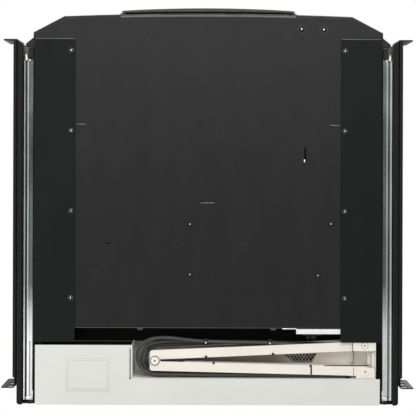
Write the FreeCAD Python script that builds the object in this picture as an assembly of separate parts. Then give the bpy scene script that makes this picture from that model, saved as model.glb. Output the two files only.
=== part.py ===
import FreeCAD, Part
import math
import os

from FreeCAD import Vector

# Rack console drawer, one rack unit high: a flip-up LCD over a keyboard, on ball-bearing slides,
# with an interface box behind it and a folding cable arm between the two.
#
# Axes: +X is the right side seen from the front, +Y is the depth of the rack, +Z is up.
# Everything is drawn with Z = 0 at the underside of the unit, Y = 0 on the face that the front
# posts of the rack touch, and X = 0 in the middle. save() then lowers each piece by half of the
# unit's height, which puts the origin in the middle of the hole pattern of the front ears.
# Lengths are in millimetres.

# ---------------------------------------------------------------- rack and rails
UNIT_HEIGHT = 44.0
MIDDLE_Z = UNIT_HEIGHT / 2
HOLE_SPAN = 465.1           # left row of rack holes to the right row
EAR_EDGE = 8.75             # from a row of rack holes to the tip of its ear
EAR_SPAN = HOLE_SPAN + 2 * EAR_EDGE
DEPTH = 429.0               # from the front ears to the rear of the box
HOLE_PITCH = 15.875         # between neighbouring holes of a row of three
EAR_SLOT_LENGTH = 10.3
EAR_SLOT_WIDTH = 6.8
EAR_CORNER = 2.0

RAIL_SHEET = 1.5
RAIL_TO_HOLES = 7.55
RAIL_WEB = HOLE_SPAN / 2 - RAIL_TO_HOLES    # inner face of the rail's upright wall
RAIL_LIP = 4.4              # how far its lips stand out
RAIL_LENGTH = DEPTH - 32.0
BEND = 0.8                  # inside radius of the folds in the rails and brackets

CHANNEL_SHEET = 1.2
CHANNEL_DEPTH = 6.5
CHANNEL_SEAT = RAIL_WEB - CHANNEL_DEPTH     # face that carries the slide
CHANNEL_RIVETS = (40.0, DEPTH - 204.0, DEPTH - 21.0)
HOOK_SCREW_RISE = 10.0      # of the hook's two screws, from the middle of the unit
HOOK_SCREW_HEAD = 1.2
CHANNEL_RETURN = 6.0        # height of the channel's return lips
CHANNEL_NOSE = 4.5          # how far its inner front corner stands back
CHANNEL_TAIL_RADIUS = 4.0

BRACKET_SHEET = 1.2
BRACKET_GAP = 0.3           # between the rail and the bracket that slides along it
BRACKET_REAR = DEPTH - 19.5     # rear face of its ear
BRACKET_FRONT = BRACKET_REAR - 279.5
BRACKET_TRAVEL = 200.0
BRACKET_EAR_TIP = EAR_SPAN / 2 + 1.7
STUD_RADIUS = 2.4
STUD_FIRST = 15.0           # first stud, from the arm's front end
STUD_PITCH = 30.0
STUD_NUT_RADIUS = 4.5
STUD_NUT_HEIGHT = 2.6
STUD_PLAY = 0.3

# ---------------------------------------------------------------- slides
SLIDE_THICK = 12.7
SLIDE_BACK = CHANNEL_SEAT                   # face screwed to the channel
SLIDE_FACE = CHANNEL_SEAT - SLIDE_THICK     # face screwed to the drawer
SLIDE_HEIGHT = 35.0
SLIDE_SHEET = 1.2
SLIDE_FRONT = 23.0
SLIDE_LENGTH = DEPTH - SLIDE_FRONT - 5.0
OUTER_FLANGE = 3.2          # depth of the outer member's flanges
INNER_FLANGE = 4.8
INNER_REAR = DEPTH - 74.0
MIDDLE_PLATE_HALF = 14.0    # outer face of the middle member's race plates, from its centre
MIDDLE_PLATE_MARGIN = 1.9   # its race plates stop this far from either face of the slide
MIDDLE_WEB = 2.4
MIDDLE_FOOT_HALF = 17.0
MIDDLE_STANDOFF = 1.0       # the middle member starts this far behind the outer one
MIDDLE_SHORTER = 5.0
BALL_PLAY = 0.05
BALL_INSET = 2.55           # ball centres, from the face of the slide beside them
CAGE_SHEET = 0.35
CAGE_INSET = 1.37
CAGE_FLANGE = 2.43
CAGE_HOLE_PLAY = 0.1
CAGE_END = 10.0             # from the end of a cage to its first ball
OUTER_CAGE = (120.0, DEPTH - 109.0)
INNER_CAGE = (118.0, INNER_REAR - 93.0)
OUTER_BALLS = 4
INNER_BALLS = 3

LATCH_PIVOT_Y = 18.0
LATCH_PIN_RADIUS = 1.5
LATCH_PIN_PLAY = 0.05
LATCH_THICK = 6.0
LATCH_GAP = 0.4
LATCH_REACH = 10.0          # from its pivot to its front end
LATCH_TAIL = 2.5
LATCH_HALF_HEIGHT = 14.0
LATCH_TAB_HALF = 8.0

# ---------------------------------------------------------------- rear box
BOX_HALF = SLIDE_FACE - 2.8
BOX_REAR = DEPTH
BOX_FRONT = BOX_REAR - 70.4         # front of the deep left part
STRIP_FRONT = BOX_REAR - 31.0       # front of the shallow part behind the cable arm
BOX_STEP = BOX_HALF - 291.4         # where the deep part ends
BOX_SHEET = 1.0
COVER_SHEET = 1.2
COVER_FRONT = BOX_FRONT + 0.6
COVER_LIP = 5.0
SEAM_WIDTH = 0.8
SEAM_DEPTH = 0.5
SEAM_INSET = 2.7            # from the step to the seam
CABLE_HOLE_WIDTH = 6.0
CABLE_HOLE_X = BOX_HALF - 37.0

PORT_X = 96.7
PORT_POST_SPACING = 13.8
PORT_POST_RADIUS = 2.0
PORT_POST_REACH = 3.4
PORT_SHELL = (9.0, 5.0)     # width and height of the plug opening
PORT_BODY = (30.0, 9.0, 15.0)
PORT_MOUTH = 6.0            # depth of the opening behind the box's wall
PORT_TONGUE = 3.0
PORT_TONGUE_INSET = 1.5
PORT_TONGUE_SHEET = 1.4
INLET_X = 62.0
INLET_RADIUS = 5.5
INLET_BORE = 3.0
INLET_DEPTH = 14.0
INLET_BASE = 3.0            # under the bore
INLET_PIN_RADIUS = 1.0
BOARD_MARGIN = 12.0         # from the box's left side
BOARD_FRONT_MARGIN = 10.0
BOARD_SIZE = (BOX_STEP + BOX_HALF - 22.6, 50.0)
# its chips and socket: start and end across and along it, as shares of its size, and height
BOARD_CHIPS = ((0.33, 0.59, 0.24, 0.72, 3.0), (0.7, 0.83, 0.16, 0.4, 2.0), (0.87, 0.98, 0.2, 0.84, 9.0))
BOARD_THICK = 1.6
BOARD_STANDOFF = 5.0

VENT_FRONT = (92.5, 134.7, STRIP_FRONT - 22.0)
VENT_REAR = (106.5, 129.0, STRIP_FRONT - 13.5)
VENT_MARGIN = 2.5
VENT_SHEET = 0.8
VENT_PITCH = 4.0
VENT_BAR = 1.0

# ---------------------------------------------------------------- drawer
SIDE_SHEET = 1.2
WALL_FACE = SLIDE_FACE - SIDE_SHEET         # inner face of the side plates' walls
SIDE_PLATE_WIDTH = 49.1
SIDE_PLATE_FRONT = -2.5
SIDE_PLATE_WALL_FRONT = 7.5
SIDE_PLATE_REAR = INNER_REAR
SIDE_PLATE_TOP = 38.0
SIDE_BEND = 1.0

PAN_SHEET = 1.2
PAN_WALL_TOP = 17.0
PAN_REAR = SIDE_PLATE_REAR - 16.6
PAN_SHOULDER_Y = -8.9       # where the side ends and the chamfer starts
PAN_CORNER_X = WALL_FACE - 35.6     # where the chamfer ends and the bow starts
PAN_CORNER_Y = -27.2
PAN_BOW = 3.5               # how far the middle of the front stands ahead of its corners
PAN_EDGE_RADIUS = 1.8

BEZEL_WALL = 1.8
BEZEL_BOTTOM = 2.6
BEZEL_TOP = 23.0
BEZEL_EDGE_RADIUS = 1.2
BEZEL_DECK = 2.0
BEZEL_REAR = 8.5
BEZEL_GAP = 0.3             # between it and the side plates' walls
WING_HALF = CHANNEL_SEAT - 3.0
WING_FRONT = 3.6
WING_REAR = BEZEL_REAR - 2.0
WING_ROOT_Y = -4.9

HANDLE_HALF = 106.0
HANDLE_CHAMFER = 6.0
HANDLE_REACH = 6.8
HANDLE_BOTTOM = 7.0
HANDLE_TOP = 19.0
HANDLE_EDGE_RADIUS = 1.5
HANDLE_LIP = 1.6
HANDLE_GROOVE_DEPTH = 6.0

DECK_SHEET = 1.2
DECK_TOP = 20.0
DECK_REAR = PAN_REAR - 7.4
CROSSBAR_HALF = WALL_FACE - 4.6
CROSSBAR_DEPTH = 6.0         # from its upright to the inside of the pan's rear wall
CROSSBAR_SHEET = 1.0
CROSSBAR_TOP = 23.5
SHELF_REAR = BOX_FRONT - 1.1    # rear edge of its shelf, which roofs the cable arm

STRIP_RIGHT = WALL_FACE - 39.6
STRIP_LEFT = STRIP_RIGHT - 60.3
STRIP_DEPTH = 7.0
STRIP_HEIGHT = 9.6
STRIP_SHEET = 1.2

SCREW_HEAD_RADIUS = 2.6
SCREW_HEAD = 0.5
SCREW_RADIUS = 1.5
SCREW_PLAY = 0.05
SIDE_SCREW_X = WALL_FACE - 43.3
SIDE_SCREW_ROWS = (11.6, 106.1, 200.6, SIDE_PLATE_REAR - 52.0)
PAN_SCREWS = ((-21.0, 216.0), (-21.0, 275.5),
              (SIDE_SCREW_X - 16.1, 215.5), (SIDE_SCREW_X - 31.4, 276.0),
              (-67.2, -3.4), (65.9, -8.0), (110.0, -14.0), (136.0, -13.5))

# slots in the pan: middle (x, y) and size along x and y
PAN_SLOTS = ((-0.3, 189.2, 16.4, 1.6), (114.5, 133.2, 2.2, 15.9),
             (-149.8, 98.6, 11.4, 1.4), (150.0, 99.5, 11.4, 1.4), (-117.1, 239.0, 6.0, 1.0))

# ---------------------------------------------------------------- keyboard
KEY_GAP = 1.6
KEY_TAPER = 1.6
KEY_TOP = 22.3
KEY_SKIRT = 14.8
KEY_TRAVEL = 2.2
KEY_STEM = 4.0
KEY_STEM_PLAY = 0.3
GUIDE_TOP = 12.2
GUIDE_SHEET = 1.2
CIRCUIT_SHEET = 0.8
KEYS_LEFT = 29.6 - WALL_FACE
KEYS_FRONT = 112.0
FUNCTION_GAP = 4.0
FUNCTION_DEPTH = 12.0
PAD_GAP = 8.0
KEYBOARD_MARGIN = 1.0
MAIN_UNITS = 15.0
PAD_UNITS = 4.0
KEY_PITCH = (-2 * KEYS_LEFT - PAD_GAP) / (MAIN_UNITS + PAD_UNITS)
MAIN_ROWS = (
    (1.25, 1.25, 1.25, None, 1.25, 1.25, 1.25, 1.25),
    (2.25,) + (1.0,) * 10 + (2.75,),
    (1.75,) + (1.0,) * 11 + (2.25,),
    (1.5,) + (1.0,) * 12 + (1.5,),
    (1.0,) * 13 + (2.0,),
)
SPACE_UNITS = 6.25
FUNCTION_KEYS = 15
# numeric pad: column, row, width and depth in key units
PAD_KEYS = tuple((c, r, 1, 1) for r in (1, 2, 3) for c in (0, 1, 2)) + (
    (0, 0, 2, 1), (2, 0, 1, 1), (0, 4, 1, 1), (1, 4, 1, 1), (2, 4, 1, 1),
    (3, 0, 1, 2), (3, 2, 1, 2), (3, 4, 1, 1))

TOUCHPAD_X = -40.0
TOUCHPAD_SIZE = (70.0, 44.0)
TOUCHPAD_FRONT = 50.0
TOUCHPAD_PROUD = 0.2
TOUCHPAD_RIM = 2.0
TOUCHPAD_SHEET = 1.2
BUTTON_DEPTH = 10.0
BUTTON_SPLIT = 0.8
BUTTON_GAP = 0.4
BUTTON_BELOW = 3.0
BUTTON_PROUD = 1.2
BUTTON_CHAMFER = 0.4
BUTTON_TO_PAD = 1.6

# ---------------------------------------------------------------- lid and hinge
LID_BOTTOM = 24.5
LID_TOP = 43.0
LID_HALF = WALL_FACE - 1.0
LID_REAR = PAN_REAR + 2.6
LID_INSET = 2.0             # the lid's front stands this far inside the drawer's front
LID_WALL = 1.4
LID_EDGE_RADIUS = 1.2
LID_BEZEL_THICK = 2.2
HINGE_Y = LID_REAR + 3.0
HINGE_Z = 34.0
BARREL_RADIUS = 5.0
BARREL_GAP = 0.3
PIN_RADIUS = 2.4
PIN_PLAY = 0.05
PIN_HEAD_RADIUS = 3.4
PIN_HEAD = 1.2
HINGE_X = 130.0
BRACKET_BARREL = 16.0       # length of the middle barrel
LEAF_BARREL = 9.7           # length of each outer barrel
HINGE_NOTCH_Y = HINGE_Y - 18.0
LEAF_FRONT = HINGE_Y - 44.0
LEAF_SHEET = 1.5
PANEL_FRONT = 4.0
PANEL_SIZE = (2 * LID_HALF - 49.2, LEAF_FRONT - PANEL_FRONT, 10.0)
PANEL_VIEW = (PANEL_SIZE[0] - 20.0, PANEL_SIZE[1] - 26.0)
PANEL_CENTRE_Y = (PANEL_FRONT + LEAF_FRONT) / 2
VIEW_MARGIN = 1.0
PANEL_RECESS = 0.8
DRIVER_SIZE = (150.0, 60.0, 1.6)
DRIVER_STANDOFF = 1.0
DRIVER_SOCKET = (20.0, 8.0, 2.0)    # half width, depth and height
DRIVER_Y = LEAF_FRONT - 100.0
OSD_COUNT = 5
OSD_RADIUS = 3.5
OSD_PITCH = 13.0
OSD_X = 60.0
OSD_Y = LID_REAR - 23.0
OSD_PROUD = 0.4
OSD_PLAY = 0.3
OSD_STEM = 4.0

# ---------------------------------------------------------------- cable arm
BOX_PIVOT = (BOX_HALF - 17.0, STRIP_FRONT - 8.8)
ELBOW = (BOX_STEP + 26.4, STRIP_FRONT - 20.7)
DRAWER_PIVOT = (BOX_HALF - 17.4, STRIP_FRONT - 39.2)
ARM_SHEET = 1.2
LOWER_ARM = (2.5, 20.2)     # bottom and top of the arm on the box
UPPER_ARM = (4.0, 21.7)     # bottom and top of the arm on the drawer
ARM_LEFT = ELBOW[0] - 6.0
ARM_RIGHT = DRAWER_PIVOT[0] - 14.3
ARM_WEB_LEFT = ELBOW[0] + 35.0
ARM_EAR = 6.3
ARM_TIP = 5.6
ARM_CORNER = 3.0
PIVOT_RADIUS = 3.0
PIVOT_PLAY = 0.06
PIVOT_HEAD = 0.7
PIVOT_HEAD_RADIUS = 4.6
WASHER_PLAY = 0.3
# edges of the two arms' flanges, folded: y at ARM_LEFT and at ARM_RIGHT
UPPER_OUTER = (STRIP_FRONT - 32.5, STRIP_FRONT - 43.0)
UPPER_INNER = (STRIP_FRONT - 21.3, STRIP_FRONT - 32.5)
UPPER_SHELF = (STRIP_FRONT - 20.8, STRIP_FRONT - 12.0)
LOWER_INNER = (STRIP_FRONT - 20.1, STRIP_FRONT - 14.4)
LOWER_OUTER = (STRIP_FRONT - 8.9, STRIP_FRONT - 3.7)

TAB_SHEET = 1.2
BOX_TAB = (BOX_PIVOT[0] - 10.6, BOX_PIVOT[0] + 11.2)
BOX_TAB_FRONT = STRIP_FRONT - 13.1
BOX_TAB_TOP_FRONT = STRIP_FRONT - 32.0
BOX_TAB_BOTTOM = 1.0
BOX_TAB_TOP = 23.4
DRAWER_TAB = (DRAWER_PIVOT[0] - 14.3, DRAWER_PIVOT[0] + 12.6)
DRAWER_TAB_FRONT = PAN_REAR + 3.6
DRAWER_TAB_REAR = DRAWER_PIVOT[1] + 6.3
BRACKET_RIVET_RADIUS = 3.6
TAB_CORNER = 2.5

# ---------------------------------------------------------------- harness
CABLE_RADIUS = 2.2
CABLE_HEIGHTS = (7.6, 12.1, 16.6)
# control points of each cable: x from the elbow, y from the front of the box's shallow part
DRAWER_RUNS = (
    ((230.0, -38.0), (200.0, -37.8), (167.0, -39.4), (132.0, -41.4), (92.0, -42.0), (56.0, -42.6),
     (34.0, -44.8)),
    ((230.0, -38.0), (200.0, -37.8), (167.0, -39.4), (132.0, -41.0), (92.0, -41.4), (56.0, -41.6),
     (34.0, -41.8)),
    ((230.0, -38.0), (200.0, -37.8), (167.0, -39.4), (132.0, -40.6), (92.0, -40.8), (56.0, -39.6),
     (34.0, -38.1)),
)
ELBOW_LOOPS = (
    ((34.0, -44.8), (16.0, -46.6), (-4.0, -46.4), (-17.5, -39.0), (-22.0, -25.0), (-17.5, -11.5),
     (-6.0, -4.0), (12.0, -3.61), (28.0, -3.4)),
    ((34.0, -41.8), (16.0, -41.96), (-1.0, -40.4), (-12.5, -34.5), (-16.8, -23.5), (-13.5, -12.0),
     (-3.5, -4.8), (12.0, -3.81), (28.0, -3.6)),
    ((34.0, -38.1), (18.0, -37.01), (3.0, -37.0), (-8.0, -32.4), (-11.8, -22.5), (-9.5, -12.0),
     (-1.5, -5.4), (12.0, -4.17), (28.0, -3.8)),
)
BOX_RUNS = (
    ((28.0, -3.4), (58.0, -3.0), (102.0, -3.2), (147.0, -2.8), (192.0, -3.0), (228.0, -2.7)),
    ((28.0, -3.6), (58.0, -3.2), (102.0, -2.9), (147.0, -3.1), (192.0, -2.8), (228.0, -2.7)),
    ((28.0, -3.8), (58.0, -3.1), (102.0, -3.3), (147.0, -2.9), (192.0, -3.1), (228.0, -2.7)),
)


# ================================================================ shapes
def box(x0, x1, y0, y1, z0, z1):
    return Part.makeBox(x1 - x0, y1 - y0, z1 - z0, Vector(x0, y0, z0))


def rod(x, y, z, radius, length, axis=Vector(0, 0, 1)):
    return Part.makeCylinder(radius, length, Vector(x, y, z), axis)


def join(first, *others):
    return first.fuse(list(others)).removeSplitter()


def group(solids):
    return Part.makeCompound(solids)


def placed(axis, at):
    """Maps a pair of coordinates into the plane across an axis, at a distance along it."""
    return {
        "X": lambda a, b: Vector(at, a, b),
        "Y": lambda a, b: Vector(a, at, b),
        "Z": lambda a, b: Vector(a, b, at),
    }[axis]


def rounded_outline(corners, radii, place):
    """Closed wire through the corners, each rounded by its radius."""
    count = len(corners)
    ends = []
    for i, (corner, radius) in enumerate(zip(corners, radii)):
        here = Vector(*corner, 0)
        before = (Vector(*corners[i - 1], 0) - here).normalize()
        after = (Vector(*corners[(i + 1) % count], 0) - here).normalize()
        half = before.getAngle(after) / 2
        if radius <= 0:
            ends.append((here, None, here))
            continue
        reach = radius / math.tan(half)
        middle = (before + after).normalize() * (radius / math.sin(half) - radius)
        ends.append((here + before * reach, here + middle, here + after * reach))
    edges = []
    for i, (start, middle, end) in enumerate(ends):
        if middle is not None:
            edges.append(Part.Arc(*(place(p.x, p.y) for p in (start, middle, end))).toShape())
        following = ends[(i + 1) % count][0]
        if end.distanceToPoint(following) > 1e-6:
            edges.append(Part.makeLine(place(end.x, end.y), place(following.x, following.y)))
    return Part.Wire(edges)


def prism(corners, axis, start, end, radii=None):
    """Solid with a closed outline across an axis, from start to end along it."""
    place = placed(axis, start)
    if radii is None:
        radii = [0.0] * len(corners)
    elif isinstance(radii, (int, float)):
        radii = [radii] * len(corners)
    face = Part.Face(rounded_outline(corners, radii, place))
    return face.extrude(placed(axis, end)(0, 0) - placed(axis, start)(0, 0))


def folded(line, thickness, axis, start, end, bend=BEND):
    """Sheet folded along a line drawn across an axis, its thickness laid on the line's left."""
    points = [Vector(a, b, 0) for a, b in line]
    ways = [(q - p).normalize() for p, q in zip(points, points[1:])]
    lefts = [Vector(-w.y, w.x, 0) for w in ways]
    outer, inner, outer_radii, inner_radii = [], [], [], []
    for i, point in enumerate(points):
        first, last = lefts[max(i - 1, 0)], lefts[min(i, len(lefts) - 1)]
        shift = (first + last) * (thickness / (1 + first.dot(last)))
        outer.append((point.x, point.y))
        inner.append((point.x + shift.x, point.y + shift.y))
        if 0 < i < len(points) - 1:
            turns_left = ways[i - 1].cross(ways[i]).z > 0
            outer_radii.append(bend + thickness if turns_left else bend)
            inner_radii.append(bend if turns_left else bend + thickness)
        else:
            outer_radii.append(0.0)
            inner_radii.append(0.0)
    return prism(outer + inner[::-1], axis, start, end, outer_radii + inner_radii[::-1])


def slot(x, z, length, width, y0, y1):
    """Cutter for a slot that is long in X and goes through in Y."""
    radius = width / 2
    half = length / 2
    low, high = z - radius, z + radius
    corners = [(x - half, low), (x + half, low), (x + half, high), (x - half, high)]
    return prism(corners, "Y", y0, y1, radius - 1e-4)


def edges_where(shape, test):
    return [edge for edge in shape.Edges if test(edge)]


def mirrored(shape):
    return shape.mirror(Vector(0, 0, 0), Vector(1, 0, 0))


def save(name, shape):
    lowered = shape.copy()
    lowered.translate(Vector(0, 0, -MIDDLE_Z))
    lowered.exportStep(os.path.join("parts", name + ".step"))


def save_pair(name, right):
    save(name + "_right", right)
    save(name + "_left", mirrored(right))


def along(line, x):
    """Height of a straight edge, given at the arm's two ends, above a place between them."""
    share = (x - ARM_LEFT) / (ARM_RIGHT - ARM_LEFT)
    return line[0] + (line[1] - line[0]) * share


# ================================================================ rails that stay in the rack
HOLE_ROWS = (MIDDLE_Z - HOLE_PITCH, MIDDLE_Z, MIDDLE_Z + HOLE_PITCH)


def ear_slots(y0, y1):
    return [slot(HOLE_SPAN / 2, z, EAR_SLOT_LENGTH, EAR_SLOT_WIDTH, y0, y1) for z in HOLE_ROWS]


def stud_places():
    first = BRACKET_FRONT + STUD_FIRST
    return (first, first + STUD_PITCH)


def ear_rail():
    tip = RAIL_WEB + RAIL_LIP
    line = [(tip, UNIT_HEIGHT), (RAIL_WEB, UNIT_HEIGHT), (RAIL_WEB, 0), (tip, 0)]
    rail = folded(line, RAIL_SHEET, "Y", -RAIL_SHEET, RAIL_LENGTH)
    corners = [(RAIL_WEB, 0), (EAR_SPAN / 2, 0), (EAR_SPAN / 2, UNIT_HEIGHT), (RAIL_WEB, UNIT_HEIGHT)]
    ear = prism(corners, "Y", -RAIL_SHEET, 0, [0, EAR_CORNER, EAR_CORNER, 0])
    ear = ear.cut(ear_slots(-RAIL_SHEET - 1, 1))
    first, last = stud_places()[0], stud_places()[-1] + BRACKET_TRAVEL
    half = STUD_RADIUS + STUD_PLAY
    corners = [(first - half, MIDDLE_Z - half), (last + half, MIDDLE_Z - half),
               (last + half, MIDDLE_Z + half), (first - half, MIDDLE_Z + half)]
    run = prism(corners, "X", RAIL_WEB - 1, RAIL_WEB + RAIL_SHEET + 1, half - 1e-4)
    return join(rail, ear).cut(run)


def slide_channel():
    top, low = UNIT_HEIGHT, 0
    line = [(RAIL_WEB, top - CHANNEL_RETURN), (RAIL_WEB, top), (CHANNEL_SEAT, top),
            (CHANNEL_SEAT, low), (RAIL_WEB, low), (RAIL_WEB, CHANNEL_RETURN)]
    channel = folded(line, CHANNEL_SHEET, "Y", 0, DEPTH, bend=0.4)
    plan = [(CHANNEL_SEAT, CHANNEL_NOSE), (RAIL_WEB, 0),
            (RAIL_WEB, DEPTH), (CHANNEL_SEAT, DEPTH)]
    channel = channel.common(prism(plan, "Z", low, top, [0, 0, CHANNEL_TAIL_RADIUS, 0]))
    hook = [(CHANNEL_SEAT + CHANNEL_SHEET, DEPTH), (BOX_HALF, DEPTH),
            (BOX_HALF, STRIP_FRONT)]
    hook = folded(hook, CHANNEL_SHEET, "Z", CHANNEL_RETURN, UNIT_HEIGHT - CHANNEL_RETURN, bend=0.1)
    return join(channel, hook)


def rear_bracket():
    face = RAIL_WEB + RAIL_SHEET + BRACKET_GAP
    low = RAIL_SHEET + BRACKET_GAP
    line = [(face, BRACKET_FRONT), (face, BRACKET_REAR), (BRACKET_EAR_TIP, BRACKET_REAR)]
    arm = folded([line[2], line[1], line[0]], BRACKET_SHEET, "Z", low, UNIT_HEIGHT - low)
    behind = BRACKET_REAR - BRACKET_SHEET
    corners = [(face + BRACKET_SHEET + BEND, 0), (BRACKET_EAR_TIP, 0), (BRACKET_EAR_TIP, UNIT_HEIGHT),
               (face + BRACKET_SHEET + BEND, UNIT_HEIGHT)]
    ear = prism(corners, "Y", behind, BRACKET_REAR, [EAR_CORNER] * 4)
    solid = join(arm, ear).cut(ear_slots(behind - 1, BRACKET_REAR + 1))
    inner = RAIL_WEB - BRACKET_GAP - STUD_NUT_HEIGHT
    for y in stud_places():
        shank = rod(inner, y, MIDDLE_Z, STUD_RADIUS, face - inner, Vector(1, 0, 0))
        nut = rod(inner, y, MIDDLE_Z, STUD_NUT_RADIUS, STUD_NUT_HEIGHT, Vector(1, 0, 0))
        solid = join(solid, shank, nut)
    return solid


# ================================================================ slides
SLIDE_HALF = SLIDE_HEIGHT / 2
RACE_TOP = SLIDE_HALF - SLIDE_SHEET
BALL_RADIUS = (RACE_TOP - MIDDLE_PLATE_HALF) / 2 - BALL_PLAY
BALL_LEVEL = (RACE_TOP + MIDDLE_PLATE_HALF) / 2


def slide_outer():
    low, top = MIDDLE_Z - SLIDE_HALF, MIDDLE_Z + SLIDE_HALF
    edge = SLIDE_BACK - OUTER_FLANGE
    line = [(edge, low), (SLIDE_BACK, low), (SLIDE_BACK, top), (edge, top)]
    return folded(line, SLIDE_SHEET, "Y", SLIDE_FRONT, SLIDE_FRONT + SLIDE_LENGTH, bend=0.2)


def slide_middle():
    centre = (SLIDE_BACK + SLIDE_FACE) / 2
    web = MIDDLE_WEB / 2
    plate = SLIDE_THICK / 2 - MIDDLE_PLATE_MARGIN
    under = MIDDLE_PLATE_HALF - SLIDE_SHEET
    quarter = [(web, 0), (web, under), (plate, under), (plate, MIDDLE_PLATE_HALF),
               (web, MIDDLE_PLATE_HALF), (web, MIDDLE_FOOT_HALF)]
    upper = quarter[1:] + [(-a, b) for a, b in quarter[:0:-1]]
    lower = [(-a, -b) for a, b in upper]
    corners = [(centre + a, MIDDLE_Z + b) for a, b in upper + lower]
    front = SLIDE_FRONT + MIDDLE_STANDOFF
    return prism(corners, "Y", front, front + SLIDE_LENGTH - MIDDLE_SHORTER)


def latch_pin_reach():
    return LATCH_GAP + LATCH_THICK


def slide_inner():
    low, top = MIDDLE_Z - SLIDE_HALF, MIDDLE_Z + SLIDE_HALF
    edge = SLIDE_FACE + INNER_FLANGE
    line = [(edge, top), (SLIDE_FACE, top), (SLIDE_FACE, low), (edge, low)]
    member = folded(line, SLIDE_SHEET, "Y", SLIDE_FRONT, INNER_REAR, bend=0.2)
    tab = box(SLIDE_FACE, SLIDE_FACE + SLIDE_SHEET, LATCH_PIVOT_Y - LATCH_TAB_HALF, SLIDE_FRONT + 1,
              MIDDLE_Z - LATCH_TAB_HALF, MIDDLE_Z + LATCH_TAB_HALF)
    pin = rod(SLIDE_FACE, LATCH_PIVOT_Y, MIDDLE_Z, LATCH_PIN_RADIUS,
              SLIDE_SHEET + latch_pin_reach(), Vector(1, 0, 0))
    return join(member, tab, pin)


def ball_cage(back, towards, span, balls):
    """Thin cage of one race with its balls: back is the face of the slide beside it, and towards
    is +1 or -1, the way from that face into the slide."""
    def across(distance):
        return back + towards * distance

    height = BALL_LEVEL + CAGE_SHEET / 2
    line = [(across(CAGE_INSET + CAGE_FLANGE), MIDDLE_Z - height), (across(CAGE_INSET), MIDDLE_Z - height),
            (across(CAGE_INSET), MIDDLE_Z + height), (across(CAGE_INSET + CAGE_FLANGE), MIDDLE_Z + height)]
    if towards > 0:
        line.reverse()
    cage = folded(line, CAGE_SHEET, "Y", span[0], span[1], bend=0.05)
    step = (span[1] - span[0] - 2 * CAGE_END) / (balls - 1)
    holes, spheres = [], []
    for i in range(balls):
        y = span[0] + CAGE_END + i * step
        for z in (MIDDLE_Z - BALL_LEVEL, MIDDLE_Z + BALL_LEVEL):
            x = across(BALL_INSET)
            holes.append(rod(x, y, z - 1, BALL_RADIUS + CAGE_HOLE_PLAY, 2))
            spheres.append(Part.makeSphere(BALL_RADIUS, Vector(x, y, z)))
    return group([cage.cut(holes)] + spheres)


def slide_latch():
    front, rear = LATCH_PIVOT_Y - LATCH_REACH, LATCH_PIVOT_Y + LATCH_TAIL
    low, top = MIDDLE_Z - LATCH_HALF_HEIGHT, MIDDLE_Z + LATCH_HALF_HEIGHT
    near = SLIDE_FACE + SLIDE_SHEET + LATCH_GAP
    corners = [(front, low), (rear, low), (rear, top), (front + 4, top), (front, top - 8)]
    lever = prism(corners, "X", near, near + LATCH_THICK, [1.5, 1.0, 1.0, 1.5, 1.5])
    bore_radius = LATCH_PIN_RADIUS + LATCH_PIN_PLAY
    bore = rod(near - 1, LATCH_PIVOT_Y, MIDDLE_Z, bore_radius, LATCH_THICK + 2, Vector(1, 0, 0))
    return lever.cut(bore)


# ================================================================ rear box
COVER_UNDER = UNIT_HEIGHT - COVER_SHEET


def box_plan(inset):
    """Outline of the rear box: deep on the left, shallow behind the cable arm."""
    return [(-BOX_HALF + inset, BOX_FRONT + inset), (BOX_STEP - inset, BOX_FRONT + inset),
            (BOX_STEP - inset, STRIP_FRONT + inset), (BOX_HALF - inset, STRIP_FRONT + inset),
            (BOX_HALF - inset, BOX_REAR - inset), (-BOX_HALF + inset, BOX_REAR - inset)]


def port_posts():
    return (PORT_X - PORT_POST_SPACING / 2, PORT_X + PORT_POST_SPACING / 2)


def rear_box_tray():
    solid = prism(box_plan(0), "Z", 0, COVER_UNDER)
    solid = solid.cut(prism(box_plan(BOX_SHEET), "Z", BOX_SHEET, COVER_UNDER + 1))
    seam_x = BOX_STEP - SEAM_INSET
    seam = box(seam_x - SEAM_WIDTH, seam_x, BOX_FRONT + SEAM_INSET, STRIP_FRONT, -1, SEAM_DEPTH)
    half = CABLE_HOLE_WIDTH / 2
    low, high = CABLE_HEIGHTS[0] - half, CABLE_HEIGHTS[-1] + half
    corners = [(CABLE_HOLE_X + x, z) for x, z in ((-half, low), (half, low), (half, high), (-half, high))]
    cable = prism(corners, "Y", STRIP_FRONT - 1, STRIP_FRONT + BOX_SHEET + 1, half - 1e-4)
    shell = box(PORT_X - PORT_SHELL[0] / 2 - 1, PORT_X + PORT_SHELL[0] / 2 + 1, BOX_REAR - 3, BOX_REAR + 1,
                MIDDLE_Z - PORT_SHELL[1] / 2 - 1, MIDDLE_Z + PORT_SHELL[1] / 2 + 1)
    posts = [rod(x, BOX_REAR - 3, MIDDLE_Z, PORT_POST_RADIUS, 5, Vector(0, 1, 0)) for x in port_posts()]
    inlet = rod(INLET_X, BOX_REAR - 3, MIDDLE_Z, INLET_RADIUS, 5, Vector(0, 1, 0))
    return solid.cut([seam, cable, shell, inlet] + posts)


def vent_outline(grow):
    """The trapezoid opening in the cover, grown on all sides."""
    left, right, front = VENT_FRONT
    rear_left, rear_right, rear = VENT_REAR
    return [(left - grow, front - grow), (right + grow, front - grow),
            (rear_right + grow, rear + grow), (rear_left - grow, rear + grow)]


def rear_box_cover():
    plate = box(-BOX_HALF, BOX_HALF, COVER_FRONT, BOX_REAR, COVER_UNDER, UNIT_HEIGHT)
    edge = BOX_STEP + 1
    lip = box(edge, BOX_HALF, COVER_FRONT, COVER_FRONT + COVER_SHEET, UNIT_HEIGHT - COVER_LIP, UNIT_HEIGHT)
    opening = prism(vent_outline(0), "Z", COVER_UNDER - 1, UNIT_HEIGHT + 1)
    return join(plate, lip).cut(opening)


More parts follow.
